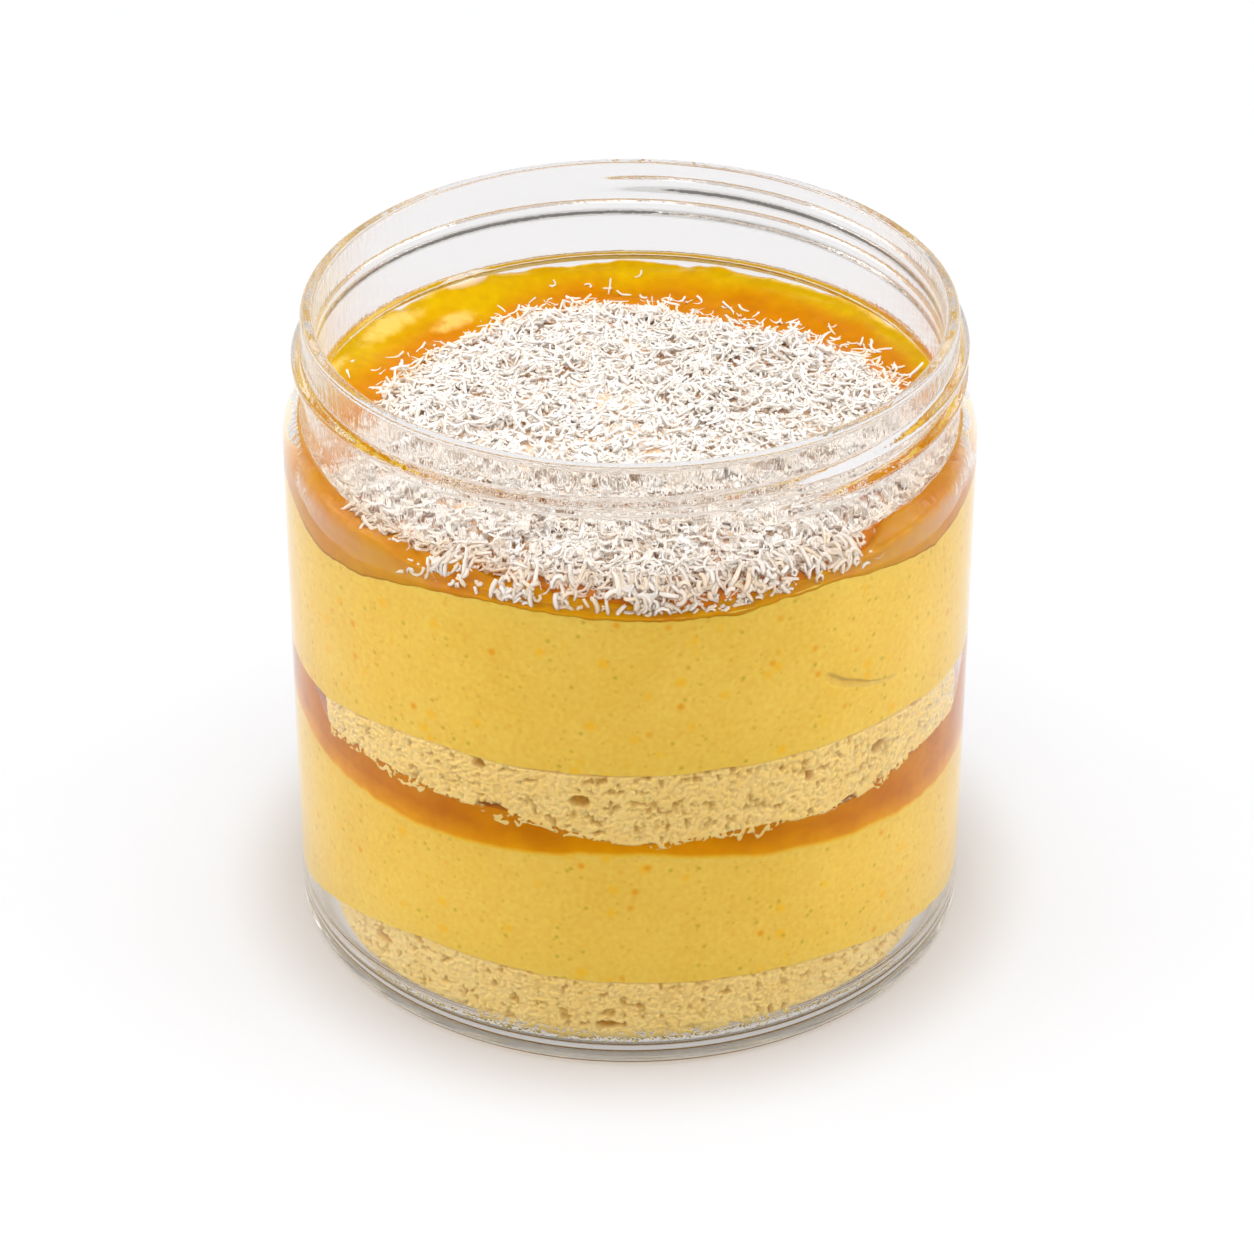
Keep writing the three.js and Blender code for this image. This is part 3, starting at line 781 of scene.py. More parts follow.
wet = add_node(tree, "BsdfPrincipled", inputs={
    "Base Color": pulpy.outputs[MIXED],
    "Roughness": 0.25,
    "IOR": 1.38,
    "Specular IOR Level": 0.0,
    "Subsurface Weight": 0.3,
    "Subsurface Radius": (1.0, 0.45, 0.05),
    "Subsurface Scale": 2 * MM,
})
add_node(tree, "OutputMaterial", inputs={"Surface": wet.outputs[0]})
dress(mango_band, mango_puree, "mango", "mango_band")

# %% [markdown]
# ## The mango glaze
# The top layer is mango glaze, spread with the back of a spoon: thick, glossy and ridged in long
# soft strokes round the edge, with a lick of it drawn up the wall at the back. Its surface is the
# frame's surface plus those ridges. At the front the glaze stops a little short of the wall, and
# coconut has slipped into the gap.

# %% Glaze surface
GLAZE_REACH = 0.05
GLAZE_AROUND = 640
GLAZE_SIDE_ROWS = 14
STROKE_CIRCLE_R = 9.0
FRONT = {"level": 0.0, "swells": [(-86, 1.0, 44)]}
SMEARS = [
    (142, 39.4, 9, 1.6), (130, 35.6, 6, 1.5), (124, 41.0, 8, 0.9), (59, 41.2, 7, 1.0),
    (41, 41.2, 10, 0.9), (162, 39.5, 7, 0.8), (95, 41.6, 12, 0.5), (22, 41.3, 9, 0.8),
]


def glaze_top(x, y):
    """The frame's glaze surface: level, then climbing to its height at the wall."""
    degrees = bearing(x, y)
    climb = smoothstep(np.hypot(x, y), GLAZE_CLIMB_R, BODY_INNER_R)
    return GLAZE_TOP["middle"] + climb * (swelled(GLAZE_TOP, degrees) - GLAZE_TOP["middle"])


def spoon_ridges(x, y):
    """Long soft strokes that run round the jar: noise with lumps of 3.4 mm, read on a circle a
    quarter as large as the edge and so stretched four times, plus a little that isn't stretched."""
    radius = np.hypot(x, y)
    degrees = bearing(x, y)
    stroke_r = radius + 1.6 * np.sin(np.radians(3 * degrees + 40))
    strokes = turned(STROKE_CIRCLE_R, 0.0, degrees)
    strokes[..., 2] = stroke_r
    lumps = np.stack([x, y, np.zeros_like(x)], axis=-1)
    return 0.42 * soft_noise(strokes, 3.4, 91) + 0.2 * soft_noise(lumps, 5.0, 92)


def smear_at(degrees, radius):
    """How strongly a smear of cream shows, from 0 to 1: soft blots at fixed places."""
    shown = np.zeros(np.broadcast_shapes(degrees.shape, radius.shape))
    for at, r, wide, deep in SMEARS:
        blot = np.exp(-((turn_from(degrees, at) / wide) ** 2) - ((radius - r) / deep) ** 2)
        shown = np.maximum(shown, blot)
    return shown


print("In its middle the glaze is", glaze_top(np.zeros(1), np.zeros(1)), "mm up")


# %% Glaze body
def glaze_body(name, seed):
    """The glaze as rings: a bottom, a side in the wall that is set back at the front, and a
    ridged top whose edge follows the ripples of the side."""
    at = directions(GLAZE_AROUND)[None, :]
    radius = INNER_RINGS[:, None]
    low = ragged(GLAZE_BOTTOM, at, (4.0, 0.3), (1.2, 0.1), seed)
    ripple = edge_waver(at, 6.0, 0.6, seed + 2) + edge_waver(at, 2.0, 0.25, seed + 3)
    high = swelled(GLAZE_TOP, at) + ripple * (1 - swelled(FRONT, at))
    share = np.linspace(0, 1, GLAZE_SIDE_ROWS)[:, None]
    side_z = low + (high - low) * share
    set_back = swelled(FRONT, at) * smoothstep(share, 0.25, 0.6)
    side_r = inside_r(side_z) + GLAZE_REACH - 0.9 * set_back
    side = turned(side_r, side_z, at)
    top_share = np.concatenate([np.linspace(0.99, 0.62, 54), [0.45, 0.25]])[:, None]
    top_r = top_share * side_r[-1]
    top = turned(top_r, 0, at)
    x, y = top[..., 0], top[..., 1]
    to_wall = side_r[-1] - top_r
    meniscus = (high - swelled(GLAZE_TOP, at)) * np.exp(-((to_wall / 1.2) ** 2))
    top[..., 2] = glaze_top(x, y) + meniscus + spoon_ridges(x, y) * smoothstep(to_wall, 0, 2.0)
    top[..., 2] += 0.5 * smear_at(at, top_r) * smoothstep(to_wall, 0, 1.0)
    body = round_body(name, np.concatenate([spread(GLAZE_BOTTOM, radius, at), side, top]))
    blank = np.zeros((len(radius), GLAZE_AROUND))
    side_smear = smear_at(at, side_r) * smoothstep(share, 0.6, 1.0)
    mark(body, "smear", np.concatenate([blank, side_smear, smear_at(at, top_r)]))
    # A painted reflection: a pale band on the glaze's side, behind the shoulder at the back.
    behind = smoothstep(np.sin(np.radians(at)), -0.4, 0.0)
    painted_shoulder_reflection = behind * smoothstep(side_z + edge_waver(at, 5.0, 0.5, seed + 4), 65.6, 67.2)
    mark(body, "painted_shoulder_reflection", np.concatenate([blank, painted_shoulder_reflection, np.zeros(top_r.shape)]))
    near_wall = 1 - smoothstep(to_wall, 1.5, 7.5 - 3 * smoothstep(x, 0, 30))
    near_wall = near_wall * (0.2 + 0.8 * smoothstep(y, -14, 12))
    mark(body, "outer", np.concatenate([blank + 0.3, side_z * 0 + 0.3, near_wall]))
    return body


mango_glaze = glaze_body("mango_glaze_top", 101)

# %% [markdown]
# The glaze is a starch and fruit gel: very glossy, translucent, and yellower where it is thin.
# The gloss comes from a low roughness of 0.12, and the colour runs from orange under the coconut
# to bright yellow at the wall. Pale smears are cream that the spoon dragged up. Behind the
# shoulder at the back the glaze's side is painted a pale beige band, a painted reflection that
# stands in for the pale line the plastic shoulder shows there.

# %% Glaze material
fruit_gel, tree, place = new_material("glossy_mango_gel")
outer = add_node(tree, "Attribute", {"attribute_name": "outer"})
smear = add_node(tree, "Attribute", {"attribute_name": "smear"})
patch = add_node(tree, "TexNoise", inputs={"Vector": place, "Scale": per_mm(7), "Detail": 3.0})
streak = add_node(tree, "TexNoise", inputs={"Vector": place, "Scale": per_mm(1.6), "Detail": 3.0})
shifted = add_node(tree, "Math", {"operation": "MULTIPLY_ADD"}, {
    0: patch.outputs["Fac"], 1: 1.1, 2: -0.55,
})
where = add_node(tree, "Math", {"operation": "ADD", "use_clamp": True}, {
    0: outer.outputs["Fac"], 1: shifted.outputs[0],
})
gel_tone = add_node(tree, "Mix", COLOUR_MIX, {
    FACTOR: where.outputs[0], COLOUR_A: linear("#C47800"), COLOUR_B: linear("#CCA200"),
})
streaked = add_node(tree, "Mix", OVERLAY_MIX, {
    FACTOR: 0.2, COLOUR_A: gel_tone.outputs[MIXED], COLOUR_B: streak.outputs["Fac"],
})
torn = add_node(tree, "Math", {"operation": "MULTIPLY", "use_clamp": True}, {
    0: smear.outputs["Fac"], 1: streak.outputs["Fac"],
})
smear_share = add_node(tree, "MapRange", inputs={
    "Value": torn.outputs[0], "From Min": 0.14, "From Max": 0.42, "To Max": 0.65,
})
smeared = add_node(tree, "Mix", COLOUR_MIX, {
    FACTOR: smear_share.outputs[0], COLOUR_A: streaked.outputs[MIXED], COLOUR_B: linear("#E8CA70"),
})
# Painted reflection: the pale band behind the back shoulder turns the glaze greyish beige.
painted_shoulder_reflection = add_node(tree, "Attribute", {"attribute_name": "painted_shoulder_reflection"})
with_painted_reflection = add_node(tree, "Mix", COLOUR_MIX, {
    FACTOR: painted_shoulder_reflection.outputs["Fac"], COLOUR_A: smeared.outputs[MIXED], COLOUR_B: linear("#E9DDCB"),
})
gel = add_node(tree, "BsdfPrincipled", inputs={
    "Base Color": with_painted_reflection.outputs[MIXED],
    "Roughness": 0.12,
    "IOR": 1.36,
    "Specular IOR Level": 0.2,
    "Subsurface Weight": 0.35,
    "Subsurface Radius": (1.0, 0.5, 0.05),
    "Subsurface Scale": 2 * MM,
})
add_node(tree, "OutputMaterial", inputs={"Surface": gel.outputs[0]})
dress(mango_glaze, fruit_gel, "glaze", "mango_glaze")

# %% [markdown]
# ## Shredded coconut
# A heap of small things is best built the way it is made: by dropping them. A low core holds the
# heap's form. Shreds then fall on it in batches: each is a curved strip, laid at a random place
# and heading, and it comes to rest on whatever is highest under it. A height map of the heap is
# raised after each batch, so later shreds lie on earlier ones and small dark gaps stay between.

# %% Coconut core
HEAP_CENTRE = np.array([1.5, -5.0])
HEAP_R = 35.7
HEAP_WALL_R = 41.2
HEAP_LOBES = [(4, 1.4, 21), (7, 0.5, 100)]
CORE_RISE = 2.5
CORE_EDGE = 0.1
CORE_AROUND = 240
CORE_RINGS = 48
CORE_SKIRT = 1.2


def heap_reach(degrees):
    """The distance from the heap's centre to its outline: a radius plus lobes, kept in the jar."""
    reach = np.full(np.shape(degrees), HEAP_R)
    for lobes, depth, at in HEAP_LOBES:
        reach = reach + depth * np.cos(np.radians(lobes * (degrees - at)))
    angle = np.radians(degrees)
    across = HEAP_CENTRE[0] * np.cos(angle) + HEAP_CENTRE[1] * np.sin(angle)
    to_wall = np.sqrt(across**2 - HEAP_CENTRE @ HEAP_CENTRE + HEAP_WALL_R**2) - across
    return np.minimum(reach, to_wall)


def out_share(x, y):
    """How far out a place is, 0 in the heap's middle and 1 on its outline."""
    dx, dy = x - HEAP_CENTRE[0], y - HEAP_CENTRE[1]
    return np.hypot(dx, dy) / heap_reach(bearing(dx, dy))


def core_top(x, y):
    """The core: glaze height, plus a dome CORE_RISE high, plus bumps of 3 mm."""
    out = out_share(x, y)
    dome = CORE_EDGE + CORE_RISE * np.clip(1 - out**2, 0, None) ** 0.8
    places = np.stack([x, y, np.zeros_like(x)], axis=-1)
    bumps = 0.35 * rough_noise(places, 3.0, 121) * np.clip(4 * (1 - out), 0, 1)
    return glaze_top(x, y) + dome + bumps


core_at = directions(CORE_AROUND)[None, :]
core_share = np.concatenate([[1.0], np.linspace(1, 0.04, CORE_RINGS)])[:, None]
core = turned(core_share * heap_reach(core_at), 0, core_at)
core[..., :2] += HEAP_CENTRE
core[..., 2] = core_top(core[..., 0], core[..., 1])
core[0, :, 2] -= CORE_SKIRT
coconut_core = round_body("coconut_heap_core", core)
mark(coconut_core, "out", out_share(core[..., 0], core[..., 1]))

# %% Coconut height map
GRID = 0.25
GRID_HALF = 44.0
GRID_CELLS = int(2 * GRID_HALF / GRID)
STATIONS = 5
STRIP_POINTS = 3 * STATIONS
SHRED_WIDTH = (0.28, 0.5)
FLAKE_WIDTH = (0.5, 0.9)
SHRED_THICKNESS = 0.25
WALL_GAP = 0.25
SETTLE = 0.2
CURL = 1.7
END_LIFT = 0.42
TILT_LIMIT = 0.5
TWIST = 0.55
HOLLOW_REACH = 1.2
BATCH = 260

cell_x, cell_y = np.meshgrid(
    np.linspace(-GRID_HALF, GRID_HALF, GRID_CELLS),
    np.linspace(-GRID_HALF, GRID_HALF, GRID_CELLS),
    indexing="ij",
)
height_map = glaze_top(cell_x, cell_y) + spoon_ridges(cell_x, cell_y)
covered = out_share(cell_x, cell_y) < 1
height_map = np.where(covered, np.maximum(height_map, core_top(cell_x, cell_y)), height_map)
print("Bare, the core is", height_map[covered].max().round(2), "mm up at its highest")


# %% Coconut drop
def grid_cell(values):
    """The row or column of the height map under a coordinate."""
    return np.clip(np.round((values + GRID_HALF) / GRID), 0, GRID_CELLS - 1).astype(int)


def shred_plan(places, length, heading, curl):
    """The centre lines from above, as x and y. The heading turns evenly by curl, and equal steps
    are added up along it, then shifted so that the middle lies on the place."""
    share = np.linspace(-0.5, 0.5, STATIONS)
    step = length[:, None] / (STATIONS - 1)
    turn = heading[:, None] + curl[:, None] * share
    dx = np.cumsum(np.cos(turn) * step, axis=1)
    dy = np.cumsum(np.sin(turn) * step, axis=1)
    x = places[:, :1] + dx - dx.mean(axis=1, keepdims=True)
    y = places[:, 1:] + dy - dy.mean(axis=1, keepdims=True)
    return x, y


def drop_shreds(places, length, widths, rng):
    """Lets shreds fall in batches and returns their centre lines and widths. Each tilts with the
    ground under its ends, rises until it clears the ground all along but for a little settling,
    and one of its ends curls up, by END_LIFT times its length at most."""
    count = len(places)
    heading = rng.uniform(0, 2 * np.pi, count)
    curl = rng.normal(0, CURL, count)
    width = rng.uniform(*widths, count)
    x, y = shred_plan(places, length, heading, curl)
    z = np.zeros_like(x)
    lift = rng.uniform(0, 1, count) ** 2 * END_LIFT * length
    share = np.linspace(-1, 1, STATIONS)
    lean = rng.choice([-1, 1], count)
    for start in range(0, count, BATCH):
        now = slice(start, min(start + BATCH, count))
        columns, rows = grid_cell(x[now]), grid_cell(y[now])
        ground = height_map[columns, rows]
        tilt = np.clip((ground[:, -1] - ground[:, 0]) / 2, -TILT_LIMIT, TILT_LIMIT)[:, None]
        straight = tilt * share
        rest = np.max(ground - straight, axis=1, keepdims=True) - SETTLE
        curled = lift[now, None] * np.clip(share * lean[now, None], 0, 1) ** 2
        z[now] = rest + straight + curled + SHRED_THICKNESS / 2
        np.maximum.at(height_map, (columns, rows), z[now] + SHRED_THICKNESS / 2)
    return np.stack([x, y, z], axis=-1), width


def sunk(lines):
    """How far each point of the centre lines lies under the heap's mean height a little around."""
    ring = turned(HOLLOW_REACH, 0.0, directions(8))
    columns = grid_cell(lines[..., :1] + ring[:, 0])
    rows = grid_cell(lines[..., 1:2] + ring[:, 1])
    return height_map[columns, rows].mean(axis=-1) - lines[..., 2]


def inside_jar(lines):
    """Moves centre lines inwards where they would run into the wall."""
    radius = np.hypot(lines[..., 0], lines[..., 1])
    room = inside_r(lines[..., 2]) - WALL_GAP
    over = np.max(radius - room, axis=1)
    middle = lines.mean(axis=1)
    inward = -unit(middle[:, :2]) * np.clip(over, 0, None)[:, None]
    moved = lines.copy()
    moved[..., :2] += inward[:, None, :]
    return moved


print("The jar's middle is in row", grid_cell(0.0), "of the height map")

# %% Coconut strips
def strips(name, lines, side, width):
    """A closed three-sided strip along each centre line: two corners at its sides, one on top,
    narrower towards both ends, and closed there by triangles."""
    share = np.linspace(0, 1, STATIONS)
    taper = (0.78 + 0.22 * np.sin(np.pi * share) ** 0.5)[None, :, None]
    half = side * (width[:, None, None] / 2) * taper
    up = np.cross(unit(np.gradient(lines, axis=1)), side)
    rise = up * (SHRED_THICKNESS / 2) * taper
    ring = np.stack([lines - half - rise, lines + half - rise, lines + rise * 1.2], axis=2)
    first = (STRIP_POINTS * np.arange(len(lines)))[:, None, None]
    step = 3 * np.arange(STATIONS - 1)[None, :, None]
    corner = np.arange(3)[None, None, :]
    after = (corner + 1) % 3
    low = first + step
    quads = np.stack([low + corner, low + after, low + 3 + after, low + 3 + corner], axis=-1)
    ends = first[:, 0]
    near = ends + np.array([0, 2, 1])
    far = ends + 3 * (STATIONS - 1) + np.array([0, 1, 2])
    return add_mesh(name, ring.reshape(-1, 3), quads.reshape(-1, 4), np.concatenate([near, far]))


def twisted_strips(name, lines, width, rng):
    """Strips that lie level across their lines, but for a random turn of each about its line, so
    that not all lie flat."""
    along = unit(np.gradient(lines, axis=1))
    level = unit(np.cross([0, 0, 1.0], along))
    angle = rng.normal(0, TWIST, len(lines))[:, None, None]
    side = level * np.cos(angle) + np.cross(along, level) * np.sin(angle)
    return strips(name, lines, side, width)


print("A strip has", STRIP_POINTS, "corners")

# %% The heap's shreds
rng = np.random.default_rng(2027)
HEAP_KINDS = [
    ("coconut_shreds_short", 6800, (0.8, 2.0), SHRED_WIDTH, 0.5, 1.0),
    ("coconut_flakes", 7400, (0.6, 1.5), FLAKE_WIDTH, 0.5, 1.6),
    ("coconut_shreds_long", 4400, (1.2, 3.0), SHRED_WIDTH, 0.42, 0.2),
]
DRAWN_IN = {"level": 0.0, "swells": [(45, 2.0, 35), (-144, -2.6, 22)]}
dropped = []
for name, count, length_range, widths, power, drawn_in in HEAP_KINDS:
    share = rng.uniform(0, 1, count) ** power
    degrees = rng.uniform(-180, 180, count)
    reach = share * (heap_reach(degrees) - drawn_in - swelled(DRAWN_IN, degrees))
    places = HEAP_CENTRE + turned(reach, 0, degrees)[:, :2]
    length = rng.uniform(*length_range, count)
    dropped.append((name, *drop_shreds(places, length, widths, rng)))
print("The heap is", height_map[covered].max().round(2), "mm up at its highest")
heap_pieces = []
for name, lines, width in dropped:
    lines = inside_jar(lines)
    piece = twisted_strips(name, lines, width, rng)
    # Half of each shred's tint is random tone; the other half warms shreds near the heap's edge, a
    # painted glow of light thrown back from the glaze.
    edge = smoothstep(out_share(lines[:, 2, 0], lines[:, 2, 1]), 0.86, 1.02)
    tint = 0.5 * rng.uniform(0, 1, len(lines)) + 0.5 * edge
    mark(piece, "tint", np.repeat(tint, STRIP_POINTS))
    mark(piece, "sunk", np.repeat(sunk(lines), 3))
    heap_pieces.append(piece)

# %% [markdown]
# Dried coconut is white, faintly translucent and matt. Each shred keeps a number, half random and
# half how near the heap's edge it lies, which makes some a shade warmer than others: the random
# half is the shreds' own tone, and the edge half is a painted warm glow, as of light thrown back
# from the glaze. A number per point for how deep it lies tints the depths golden brown, as painted
# shade in the gaps between shreds. The core between the shreds is painted light brown in the
# middle, as the shade deep in the heap, and orange near the edge, where glaze shows through.

# %% Coconut materials
dried_coconut, tree, place = new_material("dried_coconut")
tint = add_node(tree, "Attribute", {"attribute_name": "tint"})
fibre = add_node(tree, "TexNoise", inputs={"Vector": place, "Scale": per_mm(0.5), "Detail": 2.0})
white = add_node(tree, "Mix", COLOUR_MIX, {
    FACTOR: tint.outputs["Fac"], COLOUR_A: linear("#FEFCFA"), COLOUR_B: linear("#F6E2C8"),
})
# Painted shade: points that lie deep under the heap's surface are mixed towards golden brown.
sunken = add_node(tree, "Attribute", {"attribute_name": "sunk"})
gap_shade_share = add_node(tree, "MapRange", inputs={
    "Value": sunken.outputs["Fac"], "From Min": 0.25, "From Max": 0.8, "To Max": 0.9,
})
painted_gap_shade = add_node(tree, "Mix", COLOUR_MIX, {
    FACTOR: gap_shade_share.outputs[0], COLOUR_A: white.outputs[MIXED], COLOUR_B: linear("#CC9450"),
})
fibred = add_node(tree, "Mix", {"data_type": "RGBA", "blend_type": "MULTIPLY"}, {
    FACTOR: 0.08, COLOUR_A: painted_gap_shade.outputs[MIXED], COLOUR_B: fibre.outputs["Fac"],
})
shred_skin = add_node(tree, "BsdfPrincipled", inputs={
    "Base Color": fibred.outputs[MIXED],
    "Roughness": 0.6,
    "IOR": 1.45,
    "Specular IOR Level": 0.3,
    "Subsurface Weight": 0.25,
    "Subsurface Radius": (1.0, 0.9, 0.8),
    "Subsurface Scale": 0.5 * MM,
})
add_node(tree, "OutputMaterial", inputs={"Surface": shred_skin.outputs[0]})

heap_depths, tree, place = new_material("packed_coconut_in_shadow")
out = add_node(tree, "Attribute", {"attribute_name": "out"})
mottle = add_node(tree, "TexNoise", inputs={"Vector": place, "Scale": per_mm(1.2), "Detail": 3.0})
edge_share = add_node(tree, "MapRange", inputs={
    "Value": out.outputs["Fac"], "From Min": 0.72, "From Max": 1.0,
})
# Painted shade: the core shows in the gaps between shreds, so it is light brown there rather than
# coconut white.
dark = add_node(tree, "Mix", COLOUR_MIX, {
    FACTOR: mottle.outputs["Fac"], COLOUR_A: linear("#CFA06C"), COLOUR_B: linear("#F2E4D2"),
})
warmed = add_node(tree, "Mix", COLOUR_MIX, {
    FACTOR: edge_share.outputs[0], COLOUR_A: dark.outputs[MIXED], COLOUR_B: linear("#C87400"),
})
depths_skin = add_node(tree, "BsdfPrincipled", inputs={
    "Base Color": warmed.outputs[MIXED],
    "Roughness": 0.8,
    "Specular IOR Level": 0.2,
})
add_node(tree, "OutputMaterial", inputs={"Surface": depths_skin.outputs[0]})
dress(coconut_core, heap_depths, "coconut", "coconut_heap")
for piece in heap_pieces:
    dress(piece, dried_coconut, "coconut", "coconut_heap")

# %% [markdown]
# ## Stray shreds
# Some shreds lie outside the heap. A few hundred are scattered over the glaze at the sides and
# the back, and they are dropped as the heap's were, so they rest on the glaze or on each other.
# Others slid down between glaze and wall at the front. They lie flat against the plastic and
# can't be dropped, so each is drawn on the wall's own cylinder, as an angle and a height.

# %% Loose shreds on the glaze
LOOSE = 520
LOOSE_R = 39.5
LOOSE_REACH = 46
degrees = rng.uniform(-25, 205, LOOSE)
beyond = 0.97 + rng.exponential(0.05, LOOSE)
reach = np.minimum(beyond * heap_reach(degrees), LOOSE_REACH)
places = HEAP_CENTRE + turned(reach, 0, degrees)[:, :2]
places = places[np.hypot(places[:, 0], places[:, 1]) < LOOSE_R]
length = rng.uniform(1.0, 2.8, len(places))
lines, width = drop_shreds(places, length, SHRED_WIDTH, rng)
loose_shreds = twisted_strips("coconut_shreds_loose", inside_jar(lines), width, rng)
mark(loose_shreds, "tint", np.repeat(rng.uniform(0.2, 1, len(lines)), STRIP_POINTS))
dress(loose_shreds, dried_coconut, "coconut")

# %% Shreds against the front wall
WALL_SHREDS = 330
WALL_CLUMPS = 56
WALL_FROM = -133
WALL_TO = -41


def wall_shreds(name, count, rng):
    """Shreds that slid down between glaze and wall. Each is an arc on the wall's own cylinder,
    given by an angle round the jar and a height, and laid flat against the plastic."""
    clump = rng.uniform(WALL_FROM, WALL_TO, WALL_CLUMPS)
    at = np.clip(rng.choice(clump, count) + rng.normal(0, 1.4, count), WALL_FROM - 1, WALL_TO + 1)
    slack = np.clip(np.minimum(at - WALL_FROM, WALL_TO - at) / 14, 0, 1)
    bottom = swelled(GLAZE_BOTTOM, at) + 0.5 + 0.9 * (1 - slack)
    height = bottom + (3.4 * slack + 0.5) * rng.uniform(0, 1, count) ** 1.2
    length = rng.uniform(0.9, 2.7, count)
    heading = rng.uniform(0, 2 * np.pi, count)
    curl = rng.normal(0, 2.4, count)
    u, v = shred_plan(np.zeros((count, 2)), length, heading, curl)
    z = np.maximum(height[:, None] + v, bottom[:, None] - 0.35)
    radius = inside_r(z) - 0.18 - 0.75 * rng.uniform(0, 1, (count, 1))
    degrees = at[:, None] + np.degrees(u / BODY_INNER_R)
    lines = turned(radius, z, degrees)
    side = unit(np.cross(turned(1.0, 0.0, degrees), unit(np.gradient(lines, axis=1))))
    piece = strips(name, lines, side, 1.5 * rng.uniform(*SHRED_WIDTH, count))
    mark(piece, "tint", np.repeat(rng.uniform(0.1, 1, count), STRIP_POINTS))
    return piece


front_shreds = wall_shreds("coconut_shreds_at_wall", WALL_SHREDS, rng)
dress(front_shreds, dried_coconut, "coconut")

# %% [markdown]
# ## Crumbs
# Crumbs have come off the ragged lower edges of both sponges and lie pressed against the wall.
# Each crumb is an icosahedron of twenty faces whose corners are pushed in and out at random, so
# no two are alike.

# %% Crumb pieces
BAND_CRUMBS = 1500
BASE_CRUMBS = 900
LOWEST_CRUMB_Z = 2.6
GOLDEN = (1 + 5**0.5) / 2
ICO_POINTS = np.array([
    (-1, GOLDEN, 0), (1, GOLDEN, 0), (-1, -GOLDEN, 0), (1, -GOLDEN, 0),
    (0, -1, GOLDEN), (0, 1, GOLDEN), (0, -1, -GOLDEN), (0, 1, -GOLDEN),
    (GOLDEN, 0, -1), (GOLDEN, 0, 1), (-GOLDEN, 0, -1), (-GOLDEN, 0, 1),
]) / np.hypot(1, GOLDEN)
ICO_FACES = np.array([
    (0, 11, 5), (0, 5, 1), (0, 1, 7), (0, 7, 10), (0, 10, 11),
    (1, 5, 9), (5, 11, 4), (11, 10, 2), (10, 7, 6), (7, 1, 8),
    (3, 9, 4), (3, 4, 2), (3, 2, 6), (3, 6, 8), (3, 8, 9),
    (4, 9, 5), (2, 4, 11), (6, 2, 10), (8, 6, 7), (9, 8, 1),
])


def crumbs(name, at, z, size, rng):
    """Uneven lumps against the wall: an icosahedron scaled by a random amount per corner."""
    count = len(at)
    jitter = rng.uniform(0.6, 1.25, (count, 12, 1))
    points = ICO_POINTS[None] * jitter * size[:, None, None] / 2
    radius = inside_r(z) - size / 2 * 0.8
    points = points + turned(radius, z, at)[:, None, :]
    reach = np.hypot(points[..., 0], points[..., 1])
    limit = inside_r(points[..., 2]) + 0.12
    points[..., :2] *= np.minimum(1, limit / reach)[..., None]
    faces = ICO_FACES[None] + 12 * np.arange(count)[:, None, None]
    piece = add_mesh(name, points.reshape(-1, 3), np.zeros((0, 4), int), faces.reshape(-1, 3))
    mark(piece, "depth", np.repeat(rng.uniform(0.0, 0.7, count), 12))
    return piece


at = rng.uniform(-168, -14, BAND_CRUMBS)
hang = rng.exponential(0.5, BAND_CRUMBS)
clusters = smoothstep(edge_waver(at, 4.0, 1.0, 61), -0.5, 0.7)
z = swelled(BAND_TOP, at) + 0.3 - (0.3 + clusters) * hang
size = rng.uniform(0.3, 0.85, BAND_CRUMBS) * np.exp(-hang / 2.5)
hanging_crumbs = crumbs("sponge_crumbs_on_band", at, z, size, rng)
dress(hanging_crumbs, baked_sponge, "sponge")

at = rng.uniform(-140, -38, BASE_CRUMBS)
z = swelled(SPONGE_BASE_BOTTOM, at) + FINGER_Z - rng.exponential(0.35, BASE_CRUMBS)
z = np.maximum(z, LOWEST_CRUMB_Z)
size = rng.uniform(0.3, 0.8, BASE_CRUMBS)
base_crumbs = crumbs("sponge_crumbs_at_base", at, z, size, rng)
dress(base_crumbs, baked_sponge, "sponge")

# %% [markdown]
# ## Floor, light and camera
# The jar stands on a white table in a bright studio: large soft lamps over it, in front and at
# each side, and a pale surround that shows in the plastic. The table glows too, with painted
# light: white under the thick base, which would be dark without it, and dimmer and warmer in a
# ring round the jar, a painted shadow of the jar, warmed as by light thrown off the dessert. The
# camera looks down at 32 degrees with a long lens, as a product photographer's would.

# %% Floor
TABLE_CORNERS = [(-900, -900, -0.05), (900, -900, -0.05), (900, 1500, -0.05), (-900, 1500, -0.05)]
floor = add_mesh("table_top", np.array(TABLE_CORNERS), np.array([[0, 1, 2, 3]]), np.zeros((0, 3), int))
white_table, tree, place = new_material("white_laminate_table")
# Painted light: the table glows white under the jar, and dimmer and warmer in a ring round it, which is
# a painted shadow.
away = add_node(tree, "VectorMath", {"operation": "LENGTH"}, {0: place})
clear = add_node(tree, "MapRange", SMOOTH, {
    "Value": away.outputs["Value"], "From Min": 41 * MM, "From Max": 56 * MM,
})
painted_shadow_ring = add_node(tree, "Mix", COLOUR_MIX, {
    FACTOR: clear.outputs[0], COLOUR_A: linear("#D3C2B1"), COLOUR_B: linear("#FCFCFF"),
})
under_jar = add_node(tree, "MapRange", inputs={
    "Value": away.outputs["Value"], "From Min": 41.5 * MM, "From Max": 40 * MM,
})
painted_table_glow = add_node(tree, "Mix", COLOUR_MIX, {
    FACTOR: under_jar.outputs[0], COLOUR_A: painted_shadow_ring.outputs[MIXED], COLOUR_B: linear("#FFFFFF"),
})
table_skin = add_node(tree, "BsdfPrincipled", inputs={
    "Base Color": linear("#A4A5A7"),
    "Roughness": 0.7,
    "Specular IOR Level": 0.1,
    "Emission Color": painted_table_glow.outputs[MIXED],
    "Emission Strength": 0.5,
})
add_node(tree, "OutputMaterial", inputs={"Surface": table_skin.outputs[0]})
floor.data.materials.append(white_table)


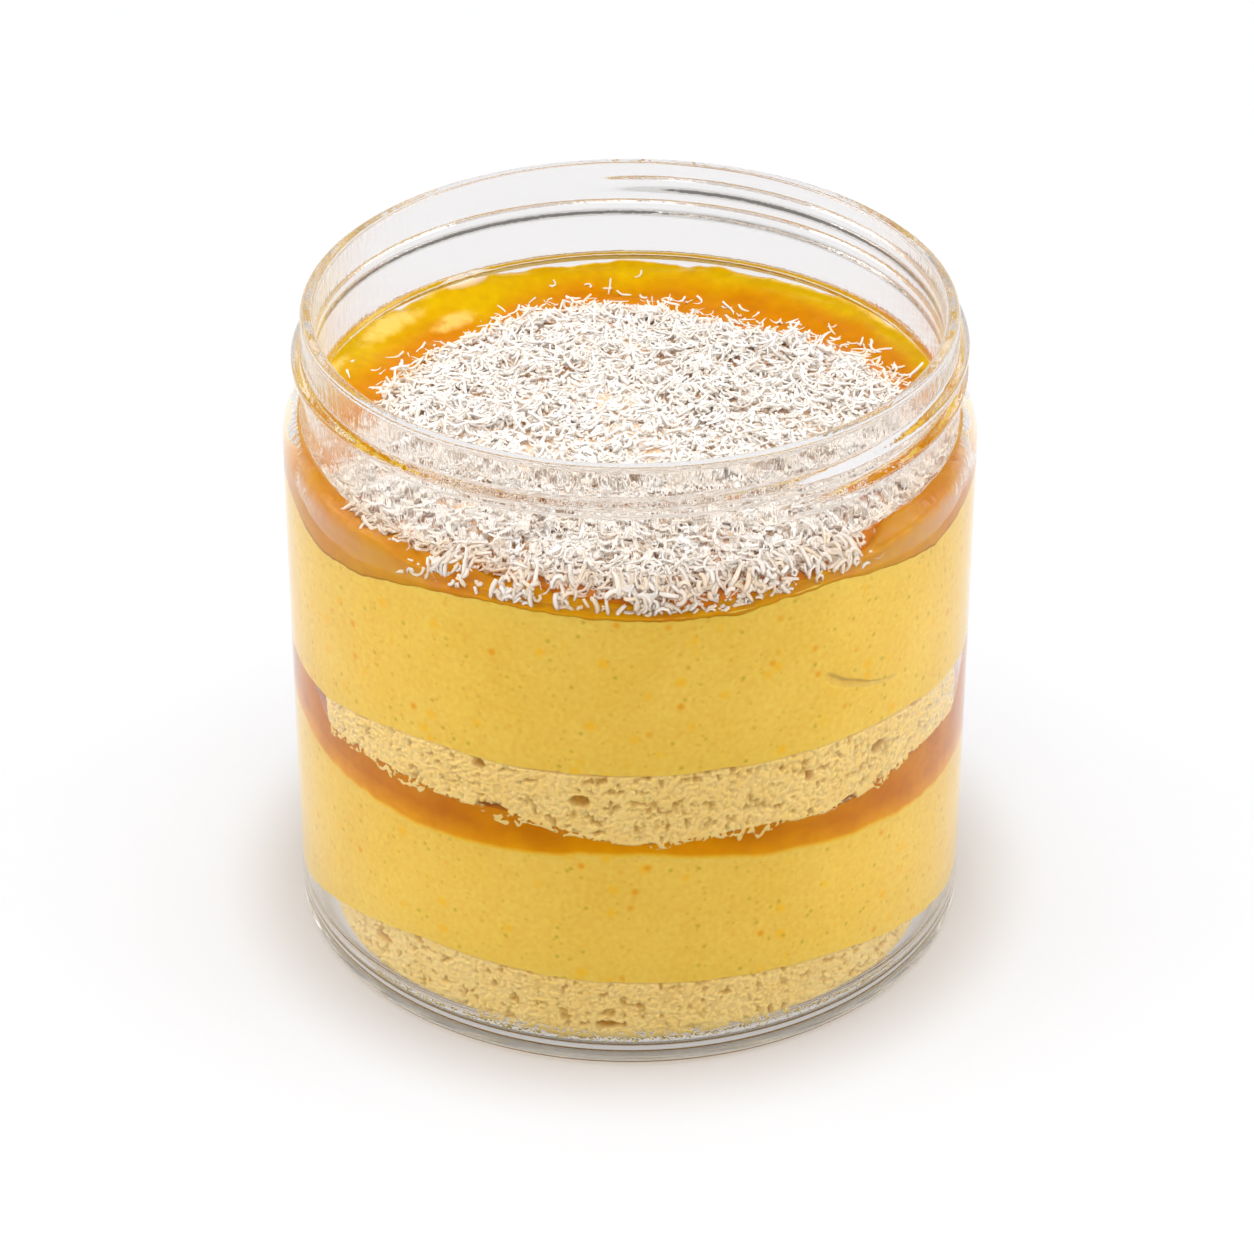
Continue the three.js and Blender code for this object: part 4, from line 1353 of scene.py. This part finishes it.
# %% Lamps
def soft_lamp(name, place, turn, size, watts, through_plastic):
    """A square area lamp at a place in metres, turned in degrees. It isn't mirrored in anything,
    and one that isn't seen through plastic leaves no bright lines in the neck."""
    lamp = bpy.data.lights.new(name, "AREA")
    lamp.shape = "SQUARE"
    lamp.size = size
    lamp.energy = watts
    holder = bpy.data.objects.new(name, lamp)
    holder.location = place
    holder.rotation_euler = np.radians(turn).tolist()
    holder.visible_glossy = False
    holder.visible_transmission = through_plastic
    bpy.context.scene.collection.objects.link(holder)
    print(name, "gives", watts, "watts")


soft_lamp("lamp_above", (0, 0.1, 0.9), (0, 0, 0), 0.9, 7, False)
soft_lamp("lamp_front", (0, -0.95, 0.62), (57, 0, 0), 0.9, 4, True)
soft_lamp("lamp_left", (-0.8, -0.05, 0.45), (0, -62, 0), 0.7, 4, True)
soft_lamp("lamp_right", (0.8, -0.05, 0.45), (0, 62, 0), 0.7, 4, True)
studio = bpy.data.worlds.new("pale_studio")
studio.use_nodes = True
tree = studio.node_tree
tree.nodes.clear()
facing = add_node(tree, "TexCoord").outputs["Generated"]
height = add_node(tree, "SeparateXYZ", inputs={0: facing}).outputs["Z"]
overhead = add_node(tree, "MapRange", SMOOTH, {"Value": height, "From Min": 0.1, "From Max": 0.75})
surround = add_node(tree, "Mix", COLOUR_MIX, {
    FACTOR: overhead.outputs[0], COLOUR_A: linear("#F4F3F2"), COLOUR_B: linear("#8F8D8A"),
})
glow = add_node(tree, "Background", inputs={0: surround.outputs[MIXED], "Strength": 0.85})
add_node(tree, "OutputWorld", inputs={"Surface": glow.outputs[0]})
bpy.context.scene.world = studio

# %% Camera and picture settings
camera = bpy.data.cameras.new("camera")
camera.lens = 124.34
camera.sensor_width = 36
viewer = bpy.data.objects.new("camera", camera)
viewer.location = (-0.000358, -0.467468, 0.332034)
viewer.rotation_euler = (np.radians(57.757), 0, 0)
bpy.context.scene.collection.objects.link(viewer)
scene = bpy.context.scene
scene.camera = viewer
scene.view_settings.view_transform = "Standard"
scene.cycles.max_bounces = 120
scene.cycles.transmission_bounces = 100
scene.cycles.glossy_bounces = 100
scene.cycles.diffuse_bounces = 16
scene.cycles.transparent_max_bounces = 16
scene.cycles.use_denoising = True
scene.cycles.use_adaptive_sampling = True
scene.cycles.adaptive_threshold = 0.03
print("The camera looks from", tuple(viewer.location))
